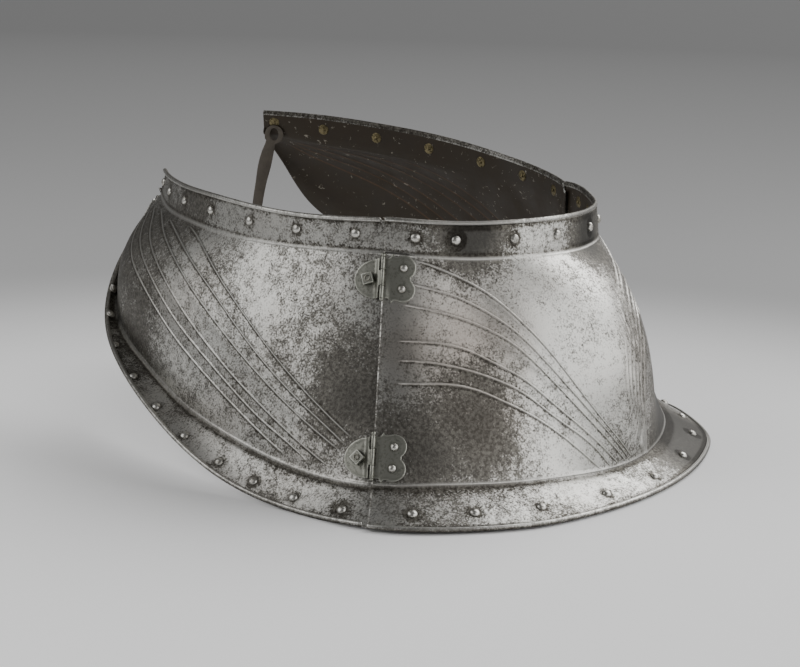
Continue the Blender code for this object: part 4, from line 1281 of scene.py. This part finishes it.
def rusty_inside():
    """The plates' unpolished inner face: forge scale under old varnish and rust, almost black
    brown, with small flakes missing so that paler metal shows."""
    finish = bpy.context.scene.peytral_finish
    material, tree, shader = new_material("rusty_inside")
    if tree is None:
        return material
    place = add(tree, "ShaderNodeTexCoord", {}, {}).outputs["Object"]
    clouds = add(tree, "ShaderNodeTexNoise", {}, {
        "Vector": place, "Scale": per_metre(40.0), "Detail": 4.0, "Roughness": 0.6})
    flakes = add(tree, "ShaderNodeTexNoise", {}, {
        "Vector": place, "Scale": per_metre(7.0), "Detail": 4.0, "Roughness": 0.7,
        "Distortion": 0.4})
    lost = add(tree, "ShaderNodeMapRange", {"interpolation_type": "SMOOTHSTEP"}, {
        "Value": flakes.outputs["Fac"], "From Min": 0.635, "From Max": 0.67, "To Min": 0.0,
        "To Max": 0.8})
    tone = add(tree, "ShaderNodeMix", {"data_type": "RGBA"}, {
        0: clouds.outputs["Fac"], 6: opaque(linear("2B251D")), 7: opaque(finish.inside)})
    # Rust keeps to the hollow behind each flute.
    crest = add(tree, "ShaderNodeAttribute", {"attribute_name": "crest"}, {}).outputs["Fac"]
    rusty = add(tree, "ShaderNodeMath", {"operation": "MULTIPLY", "use_clamp": True}, {
        0: crest, 1: flakes.outputs["Fac"]})
    rust = add(tree, "ShaderNodeMix", {"data_type": "RGBA"}, {
        0: rusty.outputs[0], 6: tone.outputs[2], 7: opaque(linear("6F5034"))})
    color = add(tree, "ShaderNodeMix", {"data_type": "RGBA"}, {
        0: lost.outputs[0], 6: rust.outputs[2], 7: opaque(linear("A39C8E"))})
    bump = add(tree, "ShaderNodeBump", {}, {
        "Strength": 0.4, "Distance": 0.0008, "Height": clouds.outputs["Fac"]})
    rough = add(tree, "ShaderNodeMapRange", {}, {
        "Value": clouds.outputs["Fac"], "From Min": 0.3, "From Max": 0.7, "To Min": 0.4,
        "To Max": 0.65})
    connect(tree, shader, {
        "Base Color": color.outputs[2], "Roughness": rough.outputs[0],
        "Normal": bump.outputs["Normal"], "Metallic": 0.35})
    return material


def small_metal(name, color, spots, spot_mm, rough_low, rough_high, pitted=0.08):
    """Small metal fittings: one colour of metal, spotted with oxide at a given size."""
    material, tree, shader = new_material(name)
    if tree is None:
        return material
    place = add(tree, "ShaderNodeTexCoord", {}, {}).outputs["Object"]
    noise = add(tree, "ShaderNodeTexNoise", {}, {
        "Vector": place, "Scale": per_metre(spot_mm), "Detail": 4.0, "Roughness": 0.7})
    where = add(tree, "ShaderNodeMapRange", {"interpolation_type": "SMOOTHSTEP"}, {
        "Value": noise.outputs["Fac"], "From Min": 0.48, "From Max": 0.62, "To Min": 0.0,
        "To Max": 1.0})
    mixed = add(tree, "ShaderNodeMix", {"data_type": "RGBA"}, {
        0: where.outputs[0], 6: opaque(color), 7: opaque(spots)})
    rough = add(tree, "ShaderNodeMapRange", {}, {
        "Value": where.outputs[0], "From Min": 0.0, "From Max": 1.0, "To Min": rough_low,
        "To Max": rough_high})
    bump = add(tree, "ShaderNodeBump", {}, {
        "Strength": pitted, "Distance": 0.0004, "Height": noise.outputs["Fac"]})
    connect(tree, shader, {
        "Base Color": mixed.outputs[2], "Roughness": rough.outputs[0],
        "Normal": bump.outputs["Normal"], "Metallic": 1.0})
    return material


def hinge_steel():
    """Forged hinge steel, smoother and a little greener than the plates: its edges are rubbed
    bright and carry a painted highlight, and it is darker round the rivets."""
    finish = bpy.context.scene.peytral_finish
    material, tree, shader = new_material("greenish_hinge_steel")
    if tree is None:
        return material
    place = add(tree, "ShaderNodeTexCoord", {}, {}).outputs["Object"]
    crest = add(tree, "ShaderNodeAttribute", {"attribute_name": "crest"}, {}).outputs["Fac"]
    valley = add(tree, "ShaderNodeAttribute", {"attribute_name": "valley"}, {}).outputs["Fac"]
    noise = add(tree, "ShaderNodeTexNoise", {}, {
        "Vector": place, "Scale": per_metre(5.0), "Detail": 5.0, "Roughness": 0.7})
    spots = add(tree, "ShaderNodeMapRange", {"interpolation_type": "SMOOTHSTEP"}, {
        "Value": noise.outputs["Fac"], "From Min": 0.45, "From Max": 0.68, "To Min": 0.0,
        "To Max": 0.6})
    dark = add(tree, "ShaderNodeMath", {"operation": "MAXIMUM"}, {0: spots.outputs[0], 1: valley})
    oxidised = add(tree, "ShaderNodeMix", {"data_type": "RGBA"}, {
        0: dark.outputs[0], 6: opaque(finish.hinge), 7: opaque(linear("45463F"))})
    color = add(tree, "ShaderNodeMix", {"data_type": "RGBA"}, {
        0: crest, 6: oxidised.outputs[2], 7: opaque(linear("C9CAC0"))})
    rough = add(tree, "ShaderNodeMapRange", {}, {
        "Value": dark.outputs[0], "From Min": 0.0, "From Max": 1.0, "To Min": 0.4,
        "To Max": 0.6})
    bump = add(tree, "ShaderNodeBump", {}, {
        "Strength": 0.3, "Distance": 0.0004, "Height": noise.outputs["Fac"]})
    connect(tree, shader, {
        "Base Color": color.outputs[2], "Roughness": rough.outputs[0],
        "Normal": bump.outputs["Normal"], "Metallic": 1.0})
    return material


def stud_steel():
    """Turned studs: bright at the end, with dark spots of oxide."""
    return small_metal("worn_stud_steel", linear("B4B2A9"), linear("5E5A52"), 3.0, 0.3, 0.5)


def rivet_steel():
    """Domed rivet heads, kept bright by cleaning, with only a pale mottle left."""
    return small_metal("polished_rivet_steel", linear("C8C6C0"), linear("98958D"), 7.0, 0.33, 0.45)


def washer_brass():
    """Sheet brass washers gone dull and brown, with pits."""
    finish = bpy.context.scene.peytral_finish
    return small_metal("tarnished_brass", finish.brass, linear("3E382A"), 3.0, 0.38, 0.55, 0.3)


def old_leather():
    """Vegetable tanned strap leather, dried and darkened, with a pebbled grain."""
    finish = bpy.context.scene.peytral_finish
    material, tree, shader = new_material("old_strap_leather")
    if tree is None:
        return material
    place = add(tree, "ShaderNodeTexCoord", {}, {}).outputs["Object"]
    grain = add(tree, "ShaderNodeTexVoronoi", {"feature": "DISTANCE_TO_EDGE"}, {
        "Vector": place, "Scale": per_metre(1.6)})
    wear = add(tree, "ShaderNodeTexNoise", {}, {
        "Vector": place, "Scale": per_metre(14.0), "Detail": 4.0, "Roughness": 0.65})
    mixed = add(tree, "ShaderNodeMix", {"data_type": "RGBA"}, {
        0: wear.outputs["Fac"], 6: opaque(linear("38322A")), 7: opaque(finish.leather)})
    bump = add(tree, "ShaderNodeBump", {}, {
        "Strength": 0.5, "Distance": 0.0005, "Height": grain.outputs["Distance"]})
    rough = add(tree, "ShaderNodeMapRange", {}, {
        "Value": wear.outputs["Fac"], "From Min": 0.3, "From Max": 0.7, "To Min": 0.5,
        "To Max": 0.75})
    connect(tree, shader, {
        "Base Color": mixed.outputs[2], "Roughness": rough.outputs[0],
        "Normal": bump.outputs["Normal"]})
    return material


# ---- operators ------------------------------------------------------------------------------------
class PEYTRAL_OT_centre_plate(Operator):
    """Loft the fluted centre plate with its rolled rim and lip"""
    bl_idname = "peytral.centre_plate"
    bl_label = "Centre Plate"

    def execute(self, context):
        settings = context.scene.peytral_plates
        place = armour_matrix()
        ridges = far_ridges()
        first, last, number = CLOSE_SECTIONS
        half = settings.columns // 2
        stations = [*np.linspace(-SEAM, first, half)[:-1], *np.linspace(first, last, number),
                    *np.linspace(last, SEAM, half)[1:]]
        rings = [centre_ring(station, settings, ridges if station < FAR_REACH else None)
                 for station in stations]
        mesh = loft(rings, halos_for(True), CENTRE_MARKS)
        piece = settle("centre_plate_skin", mesh, place, "centre",
                       (patinated_steel(), rusty_inside()))
        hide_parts("centre_plate")
        return {"FINISHED"}


class PEYTRAL_OT_side_plates(Operator):
    """Loft the two swept side plates"""
    bl_idname = "peytral.side_plates"
    bl_label = "Side Plates"

    def execute(self, context):
        settings = context.scene.peytral_plates
        place = armour_matrix()
        tucked = [SEAM - LAP, SEAM - 0.004]
        by_seam = np.linspace(SEAM, SEAM + 0.1, 11)
        rest = settings.columns - len(tucked) - len(by_seam)
        stations = [*tucked, *by_seam, *np.linspace(by_seam[-1], TIP, rest)[1:]]
        rings = [side_ring(station, settings) for station in stations]
        for side, matrix in (("right", place), ("left", left_matrix(place))):
            name = f"side_plate_skin_{side}"
            mesh = loft(rings, halos_for(False), SIDE_MARKS)
            piece = settle(name, mesh, matrix, f"side_{side}", (patinated_steel(), rusty_inside()))
            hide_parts(f"side_plate_{side}")
        return {"FINISHED"}


class PEYTRAL_OT_border_rivets(Operator):
    """Set the domed border rivets and the brass washers behind them"""
    bl_idname = "peytral.border_rivets"
    bl_label = "Border Rivets"

    def execute(self, context):
        rivets = context.scene.peytral_rivets
        plates = context.scene.peytral_plates
        place = armour_matrix()
        groups = (("centre", True, place), ("right", False, place),
                  ("left", False, left_matrix(place)))
        dome = dome_shape(20)
        for tag, centre, matrix in groups:
            heads = bmesh.new()
            washers = bmesh.new()
            for station, where in rivet_places(centre):
                inset = 0.0 if centre else SIDE_INSET
                point, normal = seat_on(station, where, inset)
                add_dome(heads, dome, upright(point, normal, UP), rivets.head_radius,
                         rivets.head_height)
                wall = centre_wall(station, plates) if centre else plates.side_thick
                back = upright(point - normal * wall, -normal, UP)
                if where == "top":
                    raised = back @ Matrix.Translation((0, 0, TAIL_LIFT))
                    add_dome(washers, dome, back, rivets.washer_radius, WASHER_HEIGHT)
                    add_dome(washers, dome, raised, *WASHER_TAIL)
                else:
                    add_dome(heads, dome, back, *FLANGE_TAIL)
            body = "centre" if centre else f"side_{tag}"
            for name, mesh, material in ((f"border_rivets_{tag}", heads, rivet_steel()),
                                         (f"border_washers_{tag}", washers, washer_brass())):
                for face in mesh.faces:
                    face.smooth = True
                piece = settle(name, mesh, matrix, body, (material,))
        return {"FINISHED"}


class PEYTRAL_OT_hinges(Operator):
    """Build the hinges' leaves, barrels, pins, rivets, studs and nuts"""
    bl_idname = "peytral.hinges"
    bl_label = "Hinges"

    def execute(self, context):
        place = armour_matrix()
        steel = hinge_steel()
        for level in HINGE_HEIGHTS:
            hinge = Hinge(level)
            rivets = [(u, v, RIVET_BORE) for u, v in LEAF_RIVETS]
            front, fit = leaf(hinge, centre_leaf_outline(), 0.0, rivets)
            inner_end = KNUCKLE_HALF + KNUCKLE_GAP
            add_knuckle(front, hinge, inner_end, BARREL_HALF)
            add_knuckle(front, hinge, -BARREL_HALF, -inner_end)
            pin = bmesh.new()
            add_shape(pin, turned(pin_profile()), upright(hinge.centre, hinge.axis, hinge.forward))
            heads = bmesh.new()
            rivet = turned(RIVET_PROFILE)
            for at in LEAF_RIVETS:
                add_shape(heads, rivet, on_leaf(hinge, fit, at))
            back, fit = leaf(hinge, side_leaf_outline(), SIDE_INSET, [(*STUD_AT, STUD_BORE)])
            add_knuckle(back, hinge, -KNUCKLE_HALF, KNUCKLE_HALF)
            nut = bmesh.new()
            add_nut(nut, on_leaf(hinge, fit, STUD_AT), NUT_TURNS[level])
            stud = bmesh.new()
            add_shape(stud, turned(STUD_PROFILE), on_leaf(hinge, fit, STUD_AT))
            pieces = (("centre_leaf", front, "centre", steel), ("pin", pin, "centre", steel),
                      ("leaf_rivet", heads, "centre", rivet_steel()),
                      ("side_leaf", back, "side", steel), ("nut", nut, "side", steel),
                      ("stud", stud, "side", stud_steel()))
            for kind, mesh, body, material in pieces:
                smooth_by_angle(mesh, 20.0 if kind == "nut" else 40.0)
                copy = mesh.copy()
                for side, shape in (("right", mesh), ("left", copy)):
                    fixed = body == "centre"
                    matrix = place
                    if side == "left":
                        matrix = place @ MIRROR if fixed else left_matrix(place)
                    tag = f"{level}_{side}"
                    piece = settle(f"{kind}_skin_{tag}", shape, matrix,
                                   "centre" if fixed else f"side_{side}", (material,))
                    if kind == "leaf_rivet":
                        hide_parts(f"leaf_rivet_high_{tag}", f"leaf_rivet_low_{tag}")
                    else:
                        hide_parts(f"{kind}_{tag}")
        return {"FINISHED"}


class PEYTRAL_OT_strap(Operator):
    """Hang the leather strap inside the left plate's tip"""
    bl_idname = "peytral.strap"
    bl_label = "Strap"

    def execute(self, context):
        mesh = strap_mesh(context.scene.peytral_plates.side_thick)
        smooth_by_angle(mesh, 50.0)
        piece = settle("leather_strap", mesh, left_matrix(armour_matrix()), "side_left",
                       (old_leather(),))
        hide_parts("strap")
        return {"FINISHED"}


# Soft lights: place, width, height and power.  The broad one stands before the horse's chest and
# the narrow one behind its right shoulder.
LIT_POINT = Vector((0.0, 0.0, 0.12))
SOFTBOXES = (
    ("softbox_front", (0.58, -2.15, 1.02), 4.0, 1.9, 46.0),
    ("softbox_rear", (-1.40, 1.17, 1.26), 2.1, 1.7, 18.0),
)
WINDOW_SPREAD = 46.0        # degrees, for soft shadows
WINDOW_TURN = (0.0, 46.0, -8.0)


def studio_card_with_painted_light():
    """Matt board with a painted pool of light: pale and even close by, painted darker round it and
    a little darker still far off.
    """
    stage = bpy.context.scene.peytral_stage
    material, tree, shader = new_material("matt_card_with_painted_light_pool")
    place = add(tree, "ShaderNodeTexCoord", {}, {}).outputs["Object"]
    shifted = add(tree, "ShaderNodeVectorMath", {"operation": "ADD"}, {
        0: place, 1: (0.35, 0.25, 0.0)})
    away = add(tree, "ShaderNodeVectorMath", {"operation": "LENGTH"}, {0: shifted.outputs[0]})
    # A painted pool of light round the armour, fading to painted shade further off.
    behind = add(tree, "ShaderNodeMapRange", {"interpolation_type": "SMOOTHSTEP"}, {
        "Value": away.outputs["Value"], "From Min": 0.65, "From Max": 1.45, "To Min": 0.0,
        "To Max": 1.0})
    far = add(tree, "ShaderNodeMapRange", {}, {
        "Value": away.outputs["Value"], "From Min": 1.8, "From Max": 8.0, "To Min": 0.0,
        "To Max": 1.0})
    lit_pool_tone = add(tree, "ShaderNodeMix", {"data_type": "RGBA"}, {
        0: behind.outputs[0], 6: opaque(stage.floor), 7: opaque(linear("A9A9A9"))})
    color = add(tree, "ShaderNodeMix", {"data_type": "RGBA"}, {
        0: far.outputs[0], 6: lit_pool_tone.outputs[2], 7: opaque(linear("858585"))})
    connect(tree, shader, {"Base Color": color.outputs[2], "Roughness": 0.9})
    return material


class PEYTRAL_OT_stage(Operator):
    """Set the pale floor, the soft lights and the camera"""
    bl_idname = "peytral.stage"
    bl_label = "Stage"

    def execute(self, context):
        stage = context.scene.peytral_stage
        mesh = bmesh.new()
        bmesh.ops.create_grid(mesh, x_segments=1, y_segments=1, size=stage.floor_size / 2.0)
        floor = new_object("studio_floor", as_data(mesh, "studio_floor"))
        floor.data.materials.append(studio_card_with_painted_light())
        world = bpy.data.worlds.new("studio_air")
        world.use_nodes = True
        air = world.node_tree.nodes["Background"]
        air.inputs["Color"].default_value = opaque(stage.air)
        context.scene.world = world
        for name, place, width, height, power in SOFTBOXES:
            light = bpy.data.lights.new(name, "AREA")
            light.shape = "RECTANGLE"
            light.size = width
            light.size_y = height
            light.energy = power
            lamp = new_object(name, light)
            lamp.location = place
            lamp.rotation_euler = (LIT_POINT - Vector(place)).to_track_quat("-Z", "Y").to_euler()
            lamp.visible_camera = False
        light = bpy.data.lights.new("high_window", "SUN")
        light.energy = stage.window_strength
        light.angle = math.radians(WINDOW_SPREAD)
        lamp = new_object("high_window", light)
        lamp.rotation_euler = [math.radians(angle) for angle in WINDOW_TURN]
        camera = bpy.data.cameras.new("studio_camera")
        camera.lens = stage.lens
        camera.sensor_width = 36.0
        camera.clip_end = 50.0
        view = new_object("studio_camera", camera)
        view.location = stage.camera_place
        view.rotation_euler = stage.camera_turn
        context.scene.camera = view
        return {"FINISHED"}


class PEYTRAL_PT_panel(Panel):
    """Sizes, colours and steps of the peytral"""
    bl_idname = "PEYTRAL_PT_panel"
    bl_label = "Peytral"
    bl_space_type = "VIEW_3D"
    bl_region_type = "UI"
    bl_category = "Peytral"

    def draw(self, context):
        layout = self.layout
        for group in (context.scene.peytral_plates, context.scene.peytral_rivets,
                      context.scene.peytral_finish, context.scene.peytral_stage):
            box = layout.box()
            for key in group.__annotations__:
                box.prop(group, key)
        for operator in OPERATORS:
            layout.operator(operator.bl_idname)


OPERATORS = (PEYTRAL_OT_stage, PEYTRAL_OT_centre_plate, PEYTRAL_OT_side_plates,
             PEYTRAL_OT_border_rivets, PEYTRAL_OT_hinges, PEYTRAL_OT_strap)
CLASSES = (PlateSettings, RivetSettings, FinishSettings, StageSettings) + OPERATORS + (
    PEYTRAL_PT_panel,)


def register():
    for item in CLASSES:
        bpy.utils.register_class(item)
    bpy.types.Scene.peytral_plates = PointerProperty(type=PlateSettings)
    bpy.types.Scene.peytral_rivets = PointerProperty(type=RivetSettings)
    bpy.types.Scene.peytral_finish = PointerProperty(type=FinishSettings)
    bpy.types.Scene.peytral_stage = PointerProperty(type=StageSettings)


def unregister():
    for key in ("peytral_plates", "peytral_rivets", "peytral_finish", "peytral_stage"):
        delattr(bpy.types.Scene, key)
    for item in reversed(CLASSES):
        bpy.utils.unregister_class(item)


def main():
    register()
    bpy.ops.peytral.stage()
    bpy.ops.peytral.centre_plate()
    bpy.ops.peytral.side_plates()
    bpy.ops.peytral.border_rivets()
    bpy.ops.peytral.hinges()
    bpy.ops.peytral.strap()


if __name__ == "__main__":
    main()
